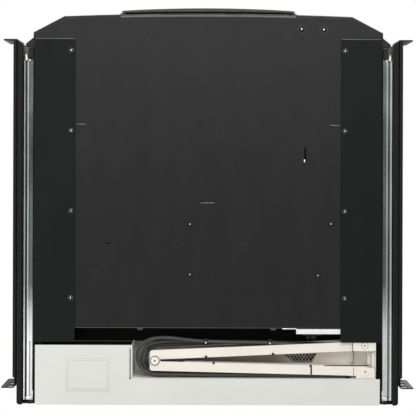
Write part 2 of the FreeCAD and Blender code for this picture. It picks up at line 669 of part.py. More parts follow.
def vent_screen():
    under = COVER_UNDER - VENT_SHEET
    screen = prism(vent_outline(VENT_MARGIN), "Z", under, COVER_UNDER)
    hole = VENT_PITCH - VENT_BAR
    holes = []
    y = VENT_FRONT[2]
    while y + hole < VENT_REAR[2] + 1:
        share = (y - VENT_FRONT[2]) / (VENT_REAR[2] - VENT_FRONT[2])
        left = VENT_FRONT[0] + (VENT_REAR[0] - VENT_FRONT[0]) * min(1, share + 0.35)
        right = VENT_FRONT[1] + (VENT_REAR[1] - VENT_FRONT[1]) * min(1, share + 0.35)
        count = int((right - left) / VENT_PITCH)
        start = (left + right - count * VENT_PITCH + VENT_BAR) / 2
        for i in range(count):
            x = start + i * VENT_PITCH
            holes.append(box(x, x + hole, y, y + hole, under - 1, COVER_UNDER + 1))
        y += VENT_PITCH
    return screen.cut(holes)


def interface_board():
    left = -BOX_HALF + BOARD_MARGIN
    front = BOX_FRONT + BOARD_FRONT_MARGIN
    low = BOX_SHEET + BOARD_STANDOFF
    wide, deep = BOARD_SIZE
    board = box(left, left + wide, front, front + deep, low, low + BOARD_THICK)
    top = low + BOARD_THICK
    chips = [box(left + x0 * wide, left + x1 * wide, front + y0 * deep, front + y1 * deep, top, top + height)
             for x0, x1, y0, y1, height in BOARD_CHIPS]
    feet = [rod(left + dx, front + dy, BOX_SHEET, 3, BOARD_STANDOFF)
            for dx in (5, wide - 5) for dy in (5, deep - 5)]
    return join(board, *chips, *feet)


def console_port():
    width, height, depth = PORT_BODY
    inside = BOX_REAR - BOX_SHEET
    body = box(PORT_X - width / 2, PORT_X + width / 2, inside - depth, inside,
               MIDDLE_Z - height / 2, MIDDLE_Z + height / 2)
    wide, tall = PORT_SHELL
    shell = box(PORT_X - wide / 2 - 1, PORT_X + wide / 2 + 1, inside, BOX_REAR + 1,
                MIDDLE_Z - tall / 2 - 1, MIDDLE_Z + tall / 2 + 1)
    floor = inside - PORT_MOUTH
    mouth = box(PORT_X - wide / 2, PORT_X + wide / 2, floor, BOX_REAR + 2,
                MIDDLE_Z - tall / 2, MIDDLE_Z + tall / 2)
    half = wide / 2 - PORT_TONGUE_INSET
    tongue = box(PORT_X - half, PORT_X + half, floor - 1, floor + PORT_TONGUE,
                 MIDDLE_Z - PORT_TONGUE_SHEET / 2, MIDDLE_Z + PORT_TONGUE_SHEET / 2)
    posts = [rod(x, inside, MIDDLE_Z, PORT_POST_RADIUS, BOX_SHEET + PORT_POST_REACH, Vector(0, 1, 0))
             for x in port_posts()]
    return join(join(body, shell, *posts).cut(mouth), tongue)


def power_inlet():
    """Socket for a round plug, and the contact pin that stands in its bore."""
    inside = BOX_REAR - BOX_SHEET
    side = INLET_RADIUS + 1.5
    body = box(INLET_X - side, INLET_X + side, inside - INLET_DEPTH, inside,
               MIDDLE_Z - side, MIDDLE_Z + side)
    collar = rod(INLET_X, inside, MIDDLE_Z, INLET_RADIUS, BOX_SHEET + 0.6, Vector(0, 1, 0))
    floor = inside - INLET_DEPTH + INLET_BASE
    bore = rod(INLET_X, floor, MIDDLE_Z, INLET_BORE, INLET_DEPTH + 5, Vector(0, 1, 0))
    pin = rod(INLET_X, floor, MIDDLE_Z, INLET_PIN_RADIUS, INLET_DEPTH - 2 * INLET_BASE, Vector(0, 1, 0))
    return group([join(body, collar).cut(bore), pin])


def arm_box_bracket():
    line = [(BOX_TAB_FRONT, BOX_TAB_BOTTOM), (STRIP_FRONT, BOX_TAB_BOTTOM),
            (STRIP_FRONT, BOX_TAB_TOP), (BOX_TAB_TOP_FRONT, BOX_TAB_TOP)]
    bracket = folded(line, TAB_SHEET, "X", BOX_TAB[0], BOX_TAB[1], bend=0.5)
    plan = [(BOX_TAB[0], BOX_TAB_FRONT), (BOX_TAB[1], BOX_TAB_FRONT),
            (BOX_TAB[1], STRIP_FRONT), (BOX_TAB[0], STRIP_FRONT)]
    near = prism(plan, "Z", 0, MIDDLE_Z / 2, [TAB_CORNER, TAB_CORNER, 0, 0])
    far = box(BOX_TAB[0], BOX_TAB[1], BOX_TAB_TOP_FRONT, STRIP_FRONT, MIDDLE_Z / 2, UNIT_HEIGHT)
    bracket = bracket.common(join(near, far))
    bore = rod(*BOX_PIVOT, 0, PIVOT_RADIUS, UNIT_HEIGHT)
    return bracket.cut(bore)


def pivot_pin(place, low, high):
    """Riveted pin between two outer faces, with a flat head on each."""
    shank = rod(*place, low, PIVOT_RADIUS, high - low)
    heads = [rod(*place, low - PIVOT_HEAD, PIVOT_HEAD_RADIUS, PIVOT_HEAD),
             rod(*place, high, PIVOT_HEAD_RADIUS, PIVOT_HEAD)]
    return join(shank, *heads)


def frame_screws():
    """Rivets under the channels and screws that hold the hooks, all with plain round heads."""
    heads = []
    for side in (-1, 1):
        x = side * (CHANNEL_SEAT + RAIL_WEB) / 2
        heads += [rod(x, y, -SCREW_HEAD, SCREW_HEAD_RADIUS - 0.6, SCREW_HEAD) for y in CHANNEL_RIVETS]
        for z in (MIDDLE_Z - HOOK_SCREW_RISE, MIDDLE_Z + HOOK_SCREW_RISE):
            heads.append(rod(side * (CHANNEL_SEAT + BOX_HALF) / 2, DEPTH, z,
                             SCREW_HEAD_RADIUS, HOOK_SCREW_HEAD, Vector(0, 1, 0)))
    return group(heads)


# ================================================================ drawer
PAN_BOTTOM = SIDE_SHEET
PAN_FLOOR = PAN_BOTTOM + PAN_SHEET


def front_outline(half, rear, grow, z):
    """Face of the drawer's plan: straight sides, chamfered front corners and a bowed front."""
    corner_x, corner_y = PAN_CORNER_X + grow / 2, PAN_CORNER_Y - grow
    shoulder = PAN_SHOULDER_Y - grow / 2
    rear_left, rear_right = Vector(-half, rear, z), Vector(half, rear, z)
    side_left, side_right = Vector(-half, shoulder, z), Vector(half, shoulder, z)
    front_left, front_right = Vector(-corner_x, corner_y, z), Vector(corner_x, corner_y, z)
    bow = Part.Arc(front_left, Vector(0, corner_y - PAN_BOW, z), front_right).toShape()
    edges = [Part.makeLine(rear_right, rear_left), Part.makeLine(rear_left, side_left),
             Part.makeLine(side_left, front_left), bow,
             Part.makeLine(front_right, side_right), Part.makeLine(side_right, rear_right)]
    return Part.Face(Part.Wire(edges))


def front_prism(half, rear, grow, low, high):
    return front_outline(half, rear, grow, low).extrude(Vector(0, 0, high - low))


def edges_at(shape, z):
    return edges_where(shape, lambda e: abs(e.BoundBox.ZMin - z) < 1e-4 and abs(e.BoundBox.ZMax - z) < 1e-4)


def side_screw_places():
    return [(side * SIDE_SCREW_X, y) for side in (-1, 1) for y in SIDE_SCREW_ROWS]


def drawer_pan():
    solid = front_prism(WALL_FACE, PAN_REAR, 0, PAN_BOTTOM, PAN_WALL_TOP)
    solid = solid.makeFillet(PAN_EDGE_RADIUS, edges_at(solid, PAN_BOTTOM))
    inside = front_prism(WALL_FACE - PAN_SHEET, PAN_REAR - PAN_SHEET, -PAN_SHEET,
                         PAN_FLOOR, PAN_WALL_TOP + 1)
    cuts = [box(x - w / 2, x + w / 2, y - d / 2, y + d / 2, PAN_BOTTOM - 1, PAN_FLOOR + 1)
            for x, y, w, d in PAN_SLOTS]
    cuts += [rod(x, y, PAN_BOTTOM - 1, SCREW_RADIUS + SCREW_PLAY, PAN_SHEET + 2)
             for x, y in side_screw_places() + list(PAN_SCREWS)]
    return solid.cut([inside] + cuts)


def side_plate():
    inner = SLIDE_FACE - SIDE_PLATE_WIDTH
    line = [(inner, 0), (SLIDE_FACE, 0), (SLIDE_FACE, SIDE_PLATE_TOP)]
    plate = folded(line, SIDE_SHEET, "Y", SIDE_PLATE_WALL_FRONT, SIDE_PLATE_REAR, bend=SIDE_BEND)
    nose = box(inner, WALL_FACE - SIDE_BEND, SIDE_PLATE_FRONT, SIDE_PLATE_WALL_FRONT, 0, SIDE_SHEET)
    plan = [(inner, SIDE_PLATE_FRONT), (SLIDE_FACE, SIDE_PLATE_FRONT),
            (SLIDE_FACE, SIDE_PLATE_REAR), (inner, SIDE_PLATE_REAR)]
    limits = prism(plan, "Z", 0, SIDE_PLATE_TOP, [TAB_CORNER, 0, 0, TAB_CORNER])
    holes = [rod(SIDE_SCREW_X, y, -1, SCREW_RADIUS + SCREW_PLAY, SIDE_SHEET + 2) for y in SIDE_SCREW_ROWS]
    return join(plate, nose).common(limits).cut(holes)


def drawer_screws():
    """Screws of the side plates and of what is fixed to the pan, and the rivet of the arm's bracket."""
    screws = []
    for x, y in side_screw_places():
        screws.append(join(rod(x, y, -SCREW_HEAD, SCREW_HEAD_RADIUS, SCREW_HEAD),
                           rod(x, y, -SCREW_HEAD, SCREW_RADIUS, SCREW_HEAD + SIDE_SHEET + PAN_SHEET)))
    for x, y in PAN_SCREWS:
        screws.append(join(rod(x, y, PAN_BOTTOM - SCREW_HEAD, SCREW_HEAD_RADIUS, SCREW_HEAD),
                           rod(x, y, PAN_BOTTOM - SCREW_HEAD, SCREW_RADIUS, SCREW_HEAD + PAN_SHEET)))
    screws.append(rod(*DRAWER_PIVOT, PAN_BOTTOM - SCREW_HEAD, BRACKET_RIVET_RADIUS, SCREW_HEAD))
    return group(screws)


def front_bezel():
    outside = front_prism(WALL_FACE + BEZEL_WALL, BEZEL_REAR, BEZEL_WALL, BEZEL_BOTTOM, BEZEL_TOP)
    rims = edges_at(outside, BEZEL_BOTTOM) + edges_at(outside, BEZEL_TOP)
    outside = outside.makeFillet(BEZEL_EDGE_RADIUS, rims)
    wings = []
    for side in (-1, 1):
        root, tip = side * (WALL_FACE + 0.2), side * WING_HALF
        corners = [(root, WING_REAR), (tip, WING_REAR), (tip, WING_FRONT), (root, WING_ROOT_Y)]
        wings.append(prism(corners, "Z", BEZEL_BOTTOM + 1, BEZEL_TOP - 1))
    hollow = front_prism(WALL_FACE, BEZEL_REAR + 1, 0, BEZEL_BOTTOM - 1, BEZEL_TOP - BEZEL_DECK)
    solid = join(outside, *wings).cut(hollow)
    near, far = SIDE_PLATE_WALL_FRONT - BEZEL_GAP, BEZEL_REAR + 1
    walls = [box(min(side * WALL_FACE, side * WING_HALF), max(side * WALL_FACE, side * WING_HALF),
                 near, far, 0, UNIT_HEIGHT) for side in (-1, 1)]
    return solid.cut(walls)


def bow_y(x, grow):
    """Front of the drawer's plan at x, grown by a wall."""
    corner_x, corner_y = PAN_CORNER_X + grow / 2, PAN_CORNER_Y - grow
    radius = (corner_x ** 2 + PAN_BOW ** 2) / (2 * PAN_BOW)
    return corner_y - PAN_BOW + radius - math.sqrt(radius ** 2 - x ** 2)


def grip_handle():
    inner = HANDLE_HALF
    outer = HANDLE_HALF - HANDLE_CHAMFER
    back_end, back_mid = bow_y(inner, BEZEL_WALL), bow_y(0, BEZEL_WALL)
    front_end, front_mid = bow_y(outer, BEZEL_WALL) - HANDLE_REACH, back_mid - HANDLE_REACH

    def plan(z, back, front, half_back, half_front, high):
        ends = [Vector(-half_back, back_end + back, z), Vector(half_back, back_end + back, z),
                Vector(half_front, front_end + front, z), Vector(-half_front, front_end + front, z)]
        edges = [Part.Arc(ends[0], Vector(0, back_mid + back, z), ends[1]).toShape(),
                 Part.makeLine(ends[1], ends[2]),
                 Part.Arc(ends[2], Vector(0, front_mid + front, z), ends[3]).toShape(),
                 Part.makeLine(ends[3], ends[0])]
        return Part.Face(Part.Wire(edges)).extrude(Vector(0, 0, high - z))

    bar = plan(HANDLE_BOTTOM, 0, 0, inner, outer, HANDLE_TOP)
    top = edges_where(bar, lambda e: e.BoundBox.ZMin > HANDLE_TOP - 1e-3)
    bar = bar.makeFillet(HANDLE_EDGE_RADIUS, [e for e in top if e.BoundBox.YMax < front_end + 0.5])
    groove = plan(HANDLE_BOTTOM - 1, 1, HANDLE_LIP, inner - HANDLE_CHAMFER, outer - HANDLE_LIP,
                  HANDLE_BOTTOM + HANDLE_GROOVE_DEPTH)
    return bar.cut(groove)


def keyboard_span():
    """Left, right, front and rear of the field of keys."""
    right = KEYS_LEFT + (MAIN_UNITS + PAD_UNITS) * KEY_PITCH + PAD_GAP
    rear = KEYS_FRONT + len(MAIN_ROWS) * KEY_PITCH + FUNCTION_GAP + FUNCTION_DEPTH
    return KEYS_LEFT, right, KEYS_FRONT, rear


def button_rear():
    return TOUCHPAD_FRONT - BUTTON_TO_PAD


def keyboard_deck():
    half = WALL_FACE - PAN_SHEET
    front = BEZEL_REAR
    line = [(half, PAN_FLOOR), (half, DECK_TOP), (-half, DECK_TOP), (-half, PAN_FLOOR)]
    deck = folded(line, DECK_SHEET, "Y", front, DECK_REAR, bend=0.5)
    left, right, near, far = keyboard_span()
    m = KEYBOARD_MARGIN - KEY_GAP / 2
    keys = box(left - m, right + m, near - m, far + m, DECK_TOP - 3, DECK_TOP + 1)
    wide, deep = TOUCHPAD_SIZE
    pad = box(TOUCHPAD_X - wide / 2, TOUCHPAD_X + wide / 2, TOUCHPAD_FRONT, TOUCHPAD_FRONT + deep,
              DECK_TOP - 3, DECK_TOP + 1)
    buttons = box(TOUCHPAD_X - wide / 2, TOUCHPAD_X + wide / 2, button_rear() - BUTTON_DEPTH, button_rear(),
                  DECK_TOP - 3, DECK_TOP + 1)
    return deck.cut([keys, pad, buttons])


def key_cells():
    """Middle and size of each key, by group: function row, main block, space bar, numeric pad."""
    cells = {"function": [], "main": [], "space": [], "pad": []}
    for r, row in enumerate(MAIN_ROWS):
        x = KEYS_LEFT
        y = KEYS_FRONT + (r + 0.5) * KEY_PITCH
        for units in row:
            width = (units or SPACE_UNITS) * KEY_PITCH
            cells["main" if units else "space"].append((x + width / 2, y, width, KEY_PITCH))
            x += width
    rear = KEYS_FRONT + len(MAIN_ROWS) * KEY_PITCH + FUNCTION_GAP
    pitch = MAIN_UNITS * KEY_PITCH / FUNCTION_KEYS
    cells["function"] = [(KEYS_LEFT + (i + 0.5) * pitch, rear + FUNCTION_DEPTH / 2, pitch, FUNCTION_DEPTH)
                         for i in range(FUNCTION_KEYS)]
    pad_left = KEYS_LEFT + MAIN_UNITS * KEY_PITCH + PAD_GAP
    cells["pad"] = [(pad_left + (c + w / 2) * KEY_PITCH, KEYS_FRONT + (r + d / 2) * KEY_PITCH,
                     w * KEY_PITCH, d * KEY_PITCH) for c, r, w, d in PAD_KEYS]
    return cells


def key(x, y, width, depth):
    """Tapered key cap on a square stem."""
    def ring(shrink, z):
        a, b = (width - KEY_GAP) / 2 - shrink, (depth - KEY_GAP) / 2 - shrink
        signs = ((-1, -1), (1, -1), (1, 1), (-1, 1))
        corners = [Vector(x + i * a, y + j * b, z) for i, j in signs]
        return Part.makePolygon(corners + corners[:1])

    cap = Part.makeLoft([ring(0, KEY_SKIRT), ring(KEY_TAPER, KEY_TOP)], True, True)
    half = KEY_STEM / 2
    low = GUIDE_TOP - GUIDE_SHEET - CIRCUIT_SHEET
    return join(cap, box(x - half, x + half, y - half, y + half, low, KEY_SKIRT + 1))


def key_guide_plate():
    """Plate under the keys with a square hole for each stem, hung from the deck by its ends."""
    left, right, front, rear = keyboard_span()
    under = DECK_TOP - DECK_SHEET
    line = [(left - 6, under), (left - 6, GUIDE_TOP - GUIDE_SHEET), (right + 6, GUIDE_TOP - GUIDE_SHEET),
            (right + 6, under)]
    plate = folded(line, GUIDE_SHEET, "Y", front, rear, bend=0.5)
    half = KEY_STEM / 2 + KEY_STEM_PLAY
    holes = [box(x - half, x + half, y - half, y + half, 0, DECK_TOP)
             for cells in key_cells().values() for x, y, _, _ in cells]
    return plate.cut(holes)


def keyboard_circuit():
    """Contact sheet that the stems press on, carried by a foot at each end of the guide plate."""
    left, right, front, rear = keyboard_span()
    top = GUIDE_TOP - GUIDE_SHEET - CIRCUIT_SHEET - KEY_TRAVEL
    sheet = box(left, right, front, rear, top - CIRCUIT_SHEET, top)
    feet = [box(x, x + 4, front, rear, top, GUIDE_TOP - GUIDE_SHEET) for x in (left - 3, right - 1)]
    pads = [box(left - 3, left, front, rear, top - CIRCUIT_SHEET, top),
            box(right, right + 3, front, rear, top - CIRCUIT_SHEET, top)]
    return join(sheet, *feet, *pads)


def touchpad():
    wide, deep = TOUCHPAD_SIZE
    left, right = TOUCHPAD_X - wide / 2, TOUCHPAD_X + wide / 2
    under = DECK_TOP - DECK_SHEET
    front, rear = TOUCHPAD_FRONT, TOUCHPAD_FRONT + deep
    pad = box(left, right, front, rear, under - TOUCHPAD_SHEET, DECK_TOP + TOUCHPAD_PROUD)
    rim = box(left - TOUCHPAD_RIM, right + TOUCHPAD_RIM, front - TOUCHPAD_SHEET, rear + TOUCHPAD_RIM,
              under - TOUCHPAD_SHEET, under)
    return join(pad, rim)


def touchpad_button(side):
    wide = TOUCHPAD_SIZE[0]
    inner = TOUCHPAD_X + side * BUTTON_SPLIT / 2
    outer = TOUCHPAD_X + side * (wide / 2 - BUTTON_GAP)
    rear = button_rear() - BUTTON_GAP
    front = button_rear() - BUTTON_DEPTH + BUTTON_GAP
    high = DECK_TOP + BUTTON_PROUD
    solid = box(min(inner, outer), max(inner, outer), front, rear, DECK_TOP - BUTTON_BELOW, high)
    return solid.makeChamfer(BUTTON_CHAMFER, edges_at(solid, high))


def rear_crossbar():
    """Upright across the rear of the drawer, folded back over the cable arm as a shelf."""
    front = PAN_REAR - PAN_SHEET - CROSSBAR_DEPTH
    line = [(SHELF_REAR, CROSSBAR_TOP), (front, CROSSBAR_TOP), (front, PAN_FLOOR)]
    return folded(line, CROSSBAR_SHEET, "X", -CROSSBAR_HALF, CROSSBAR_HALF, bend=0.3)


def stiffener_strip():
    line = [(PAN_REAR, PAN_FLOOR + STRIP_HEIGHT), (PAN_REAR, PAN_FLOOR),
            (PAN_REAR + STRIP_DEPTH, PAN_FLOOR)]
    return folded(line, STRIP_SHEET, "X", STRIP_LEFT, STRIP_RIGHT, bend=0.4)


def arm_drawer_bracket():
    left, right = DRAWER_TAB
    front, rear = DRAWER_TAB_FRONT, DRAWER_TAB_REAR
    corners = [(left, front), (right, front), (right, rear), (left, rear)]
    return prism(corners, "Z", SIDE_SHEET, SIDE_SHEET + TAB_SHEET, TAB_CORNER)


# ================================================================ hinge and lid
HALF_BARREL = BRACKET_BARREL / 2
LEAF_END = HALF_BARREL + BARREL_GAP + LEAF_BARREL


def hinge_bracket():
    """Foot on the crossbar and the middle barrel of a hinge."""
    rear = PAN_REAR - PAN_SHEET
    left, right = HINGE_X - HALF_BARREL, HINGE_X + HALF_BARREL
    reach = BARREL_RADIUS * math.sqrt(0.5)
    corners = [(rear - CROSSBAR_DEPTH + 1, CROSSBAR_TOP), (rear, CROSSBAR_TOP),
               (HINGE_Y + reach, HINGE_Z - reach), (HINGE_Y - reach, HINGE_Z + reach)]
    arm = prism(corners, "X", left, right)
    barrel = rod(left, HINGE_Y, HINGE_Z, BARREL_RADIUS, right - left, Vector(1, 0, 0))
    bore = rod(left - 1, HINGE_Y, HINGE_Z, PIN_RADIUS, right - left + 2, Vector(1, 0, 0))
    return join(arm, barrel).cut(bore)


def hinge_pin():
    reach = LEAF_END + BARREL_GAP
    shank = rod(HINGE_X - reach, HINGE_Y, HINGE_Z, PIN_RADIUS, 2 * reach, Vector(1, 0, 0))
    heads = [rod(x, HINGE_Y, HINGE_Z, PIN_HEAD_RADIUS, PIN_HEAD, Vector(1, 0, 0))
             for x in (HINGE_X - reach - PIN_HEAD, HINGE_X + reach)]
    return join(shank, *heads)


def hinge_leaf():
    """Outer barrels of a hinge on a plate that lies on the inside of the lid's bezel."""
    inner, outer = HALF_BARREL + BARREL_GAP, LEAF_END
    low = LID_BOTTOM + LID_BEZEL_THICK
    pieces = [box(HINGE_X - outer, HINGE_X + outer, LEAF_FRONT, HINGE_NOTCH_Y, low, low + LEAF_SHEET)]
    for side in (-1, 1):
        x0 = HINGE_X + (inner if side > 0 else -outer)
        corners = [(HINGE_NOTCH_Y - 4, low), (HINGE_Y - 3, low),
                   (HINGE_Y + BARREL_RADIUS * 0.9, HINGE_Z - 2.1),
                   (HINGE_Y, HINGE_Z + BARREL_RADIUS), (HINGE_NOTCH_Y - 4, low + LEAF_SHEET)]
        pieces.append(prism(corners, "X", x0, x0 + LEAF_BARREL))
        pieces.append(rod(x0, HINGE_Y, HINGE_Z, BARREL_RADIUS, LEAF_BARREL, Vector(1, 0, 0)))
    bore = rod(HINGE_X - outer - 1, HINGE_Y, HINGE_Z, PIN_RADIUS + PIN_PLAY, 2 * outer + 2, Vector(1, 0, 0))
    return join(*pieces).cut(bore)


def hinge_notches(low, high):
    reach = LEAF_END + BARREL_GAP + PIN_HEAD + 0.5
    return [box(side * HINGE_X - reach, side * HINGE_X + reach, HINGE_NOTCH_Y, LID_REAR + 10, low, high)
            for side in (-1, 1)]


def osd_places():
    return [OSD_X + i * OSD_PITCH for i in range(-(OSD_COUNT // 2), OSD_COUNT - OSD_COUNT // 2)]


def lid_shell():
    low = LID_BOTTOM + LID_BEZEL_THICK
    solid = front_prism(LID_HALF, LID_REAR, -LID_INSET, low, LID_TOP)
    solid = solid.makeFillet(LID_EDGE_RADIUS, edges_at(solid, LID_TOP))
    hollow = front_prism(LID_HALF - LID_WALL, LID_REAR - LID_WALL, -LID_INSET - LID_WALL,
                         low - 1, LID_TOP - LID_WALL)
    return solid.cut([hollow] + hinge_notches(0, LID_TOP - LID_WALL))


def lid_bezel():
    high = LID_BOTTOM + LID_BEZEL_THICK
    solid = front_prism(LID_HALF, LID_REAR, -LID_INSET, LID_BOTTOM, high)
    across, along_y = PANEL_VIEW[0] / 2 + VIEW_MARGIN, PANEL_VIEW[1] / 2 + VIEW_MARGIN
    window = box(-across, across, PANEL_CENTRE_Y - along_y, PANEL_CENTRE_Y + along_y, LID_BOTTOM - 1, high + 1)
    holes = [rod(x, OSD_Y, LID_BOTTOM - 1, OSD_RADIUS + OSD_PLAY, LID_BEZEL_THICK + 2)
             for x in osd_places()]
    return solid.cut([window] + holes + hinge_notches(0, high + 1))


def lcd_panel():
    """Display module: metal frame with the glass set back inside it."""
    low = LID_BOTTOM + LID_BEZEL_THICK
    wide, deep, thick = PANEL_SIZE
    frame = box(-wide / 2, wide / 2, PANEL_CENTRE_Y - deep / 2, PANEL_CENTRE_Y + deep / 2, low, low + thick)
    across, along_y = PANEL_VIEW[0] / 2, PANEL_VIEW[1] / 2
    recess = box(-across, across, PANEL_CENTRE_Y - along_y, PANEL_CENTRE_Y + along_y,
                 low - 1, low + PANEL_RECESS)
    return frame.cut(recess)


def lcd_driver_board():
    wide, deep, thick = DRIVER_SIZE
    low = LID_BOTTOM + LID_BEZEL_THICK + PANEL_SIZE[2]
    front, rear = DRIVER_Y - deep / 2, DRIVER_Y + deep / 2
    under = low + DRIVER_STANDOFF
    board = box(-wide / 2, wide / 2, front, rear, under, under + thick)
    feet = [rod(x, y, low, 2.5, DRIVER_STANDOFF)
            for x in (5 - wide / 2, wide / 2 - 5) for y in (front + 5, rear - 5)]
    half, socket_deep, height = DRIVER_SOCKET
    socket = box(-half, half, front, front + socket_deep, under + thick, under + thick + height)
    return join(board, socket, *feet)


def osd_buttons():
    return group([rod(x, OSD_Y, LID_BOTTOM - OSD_PROUD, OSD_RADIUS, OSD_STEM) for x in osd_places()])


# ================================================================ cable arm
def flange(outer, inner, pivot, low):
    """One flat flange of an arm, with an ear round its elbow and a rounded tip round its end pivot."""
    corners = [(ARM_LEFT, outer[0]), (ARM_LEFT, inner[0]), (ARM_RIGHT, inner[1]), (ARM_RIGHT, outer[1])]
    plate = prism(corners, "Z", low, low + ARM_SHEET, [ARM_CORNER, 0, 0, 0])
    ear = rod(*ELBOW, low, ARM_EAR, ARM_SHEET)
    tip = rod(*pivot, low, ARM_TIP, ARM_SHEET)
    near, far = sorted((outer[1], inner[1]))
    x, y = pivot
    neck = [(ARM_RIGHT - 2, near), (x, y - ARM_TIP), (x, y + ARM_TIP), (ARM_RIGHT - 2, far)]
    return join(plate, ear, tip, prism(neck, "Z", low, low + ARM_SHEET))


def arm_web(line, low, high, towards):
    """Upright wall of an arm along one edge of its flanges."""
    corners = []
    for x in (ARM_WEB_LEFT, ARM_RIGHT):
        corners.append((x, along(line, x)))
    thick = [(x, y + towards * ARM_SHEET) for x, y in reversed(corners)]
    return prism(corners + thick, "Z", low, high)


def arm_bores(*places):
    return [rod(*place, -1, PIVOT_RADIUS + PIVOT_PLAY, UNIT_HEIGHT) for place in places]


def arm_box_side():
    """Channel that opens to the rear and turns on the rear box."""
    low, high = LOWER_ARM
    pieces = [flange(LOWER_OUTER, LOWER_INNER, BOX_PIVOT, z) for z in (low, high - ARM_SHEET)]
    web = arm_web(LOWER_INNER, low, high, 1)
    return join(*pieces, web).cut(arm_bores(BOX_PIVOT, ELBOW))


def arm_drawer_side():
    """Channel that opens to the front and turns at the elbow, with a wide shelf as its far flange."""
    low, high = UPPER_ARM
    near = flange(UPPER_OUTER, UPPER_INNER, DRAWER_PIVOT, low)
    far = flange(UPPER_OUTER, UPPER_INNER, DRAWER_PIVOT, high - ARM_SHEET)
    shelf = prism([(ARM_WEB_LEFT, along(UPPER_INNER, ARM_WEB_LEFT) - 1), (ARM_RIGHT, UPPER_INNER[1] - 1),
                   (ARM_RIGHT, UPPER_SHELF[1]), (ARM_WEB_LEFT, along(UPPER_SHELF, ARM_WEB_LEFT))],
                  "Z", high - ARM_SHEET, high)
    web = arm_web(UPPER_INNER, low, high, -1)
    boss = rod(*DRAWER_PIVOT, PAN_FLOOR + WASHER_PLAY, PIVOT_HEAD_RADIUS, low - PAN_FLOOR - WASHER_PLAY)
    post = rod(*DRAWER_PIVOT, low, PIVOT_RADIUS, high - low)
    return join(near, far, shelf, web, boss, post).cut(arm_bores(ELBOW))


# ================================================================ harness
def tube(points, z, radius):
    """Round cable along straight runs that are joined by tangent arcs, each as large as its runs allow."""
    spots = [Vector(x, y, z) for x, y in points]
    edges, start, radii = [], spots[0], []
    for before, here, after in zip(spots, spots[1:], spots[2:]):
        back, ahead = before - here, after - here
        turn = math.pi - back.getAngle(ahead)
        shorter = min(back.Length, ahead.Length)
        reach = 0.45 * shorter
        bend = reach / math.tan(turn / 2)
        radii.append(bend)
        a = here + back.normalize() * reach
        b = here + ahead.normalize() * reach
        half = (math.pi - turn) / 2
        inward = (a + b - here * 2).normalize()
        middle = here + inward * (bend / math.sin(half) - bend)
        edges.append(Part.LineSegment(start, a).toShape())
        edges.append(Part.Arc(a, middle, b).toShape())
        start = b
    edges.append(Part.LineSegment(start, spots[-1]).toShape())
    path = Part.Wire(edges)
    first = (spots[1] - spots[0]).normalize()
    ring = Part.Wire([Part.Circle(spots[0], first, radius).toShape()])
    solid = path.makePipeShell([ring], True, True)
    expected = math.pi * radius ** 2 * path.Length
    print("cable: length %.1f, tightest bend %.1f, volume off by %.3f%%"
          % (path.Length, min(radii), 100 * (solid.Volume / expected - 1)))
    return solid


def harness(routes):
    cables = []
    for route, z in zip(routes, CABLE_HEIGHTS):
        points = [(ELBOW[0] + x, STRIP_FRONT + y) for x, y in route]
        cables.append(tube(points, z, CABLE_RADIUS))
    return group(cables)


# ================================================================ the whole
def main():
    os.makedirs("parts", exist_ok=True)
    save_pair("ear_rail", ear_rail())
    save_pair("slide_channel", slide_channel())
    save_pair("rear_bracket", rear_bracket())
    save_pair("slide_outer", slide_outer())
    save_pair("slide_middle", slide_middle())
    save_pair("slide_inner", slide_inner())
    save_pair("ball_retainer_outer", ball_cage(SLIDE_BACK, -1, OUTER_CAGE, OUTER_BALLS))
    save_pair("ball_retainer_inner", ball_cage(SLIDE_FACE, 1, INNER_CAGE, INNER_BALLS))
    save_pair("slide_latch", slide_latch())

    save("rear_box_tray", rear_box_tray())
    save("rear_box_cover", rear_box_cover())
    save("vent_screen", vent_screen())
    save("interface_board", interface_board())
    save("console_port", console_port())
    save("power_inlet", power_inlet())
    save("arm_box_bracket", arm_box_bracket())
    save("arm_box_pin", pivot_pin(BOX_PIVOT, BOX_TAB_BOTTOM, BOX_TAB_TOP))
    save("frame_screws", frame_screws())

    save("drawer_pan", drawer_pan())
    save_pair("side_plate", side_plate())
    save("drawer_screws", drawer_screws())
    save("front_bezel", front_bezel())
    save("grip_handle", grip_handle())
    save("keyboard_deck", keyboard_deck())
    save("key_guide_plate", key_guide_plate())
    save("keyboard_circuit", keyboard_circuit())
    save("touchpad", touchpad())
    save("touchpad_button_left", touchpad_button(-1))
    save("touchpad_button_right", touchpad_button(1))
    save("rear_crossbar", rear_crossbar())
    save("stiffener_strip", stiffener_strip())
    save("arm_drawer_bracket", arm_drawer_bracket())

    cells = key_cells()
    save("keys_function_row", group([key(*cell) for cell in cells["function"]]))
    save("keys_main_block", group([key(*cell) for cell in cells["main"]]))
    save("keys_numeric_pad", group([key(*cell) for cell in cells["pad"]]))
    save("space_bar", key(*cells["space"][0]))

    save("hinge_brackets", group([hinge_bracket(), mirrored(hinge_bracket())]))
    save("hinge_pins", group([hinge_pin(), mirrored(hinge_pin())]))
    save("lid_hinge_leaves", group([hinge_leaf(), mirrored(hinge_leaf())]))
    save("lid_shell", lid_shell())
    save("lid_bezel", lid_bezel())
    save("lcd_panel", lcd_panel())
    save("lcd_driver_board", lcd_driver_board())
    save("osd_buttons", osd_buttons())

    save("arm_box_side", arm_box_side())
    save("arm_drawer_side", arm_drawer_side())
    save("elbow_pin", pivot_pin(ELBOW, LOWER_ARM[0], UPPER_ARM[1] + PIVOT_PLAY))
    save("harness_drawer_run", harness(DRAWER_RUNS))
    save("harness_elbow_loop", harness(ELBOW_LOOPS))
    save("harness_box_run", harness(BOX_RUNS))


main()
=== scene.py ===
"""Looks of a rack console drawer: finishes, small fittings, cable harness, studio and camera.

Lengths are in metres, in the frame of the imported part: +X right, +Y to the rear, +Z up, with the
origin in the middle of the front ears' hole pattern.
"""

from __future__ import annotations

import logging
import math
from collections.abc import Callable, Iterable
from dataclasses import dataclass, field
from enum import Enum

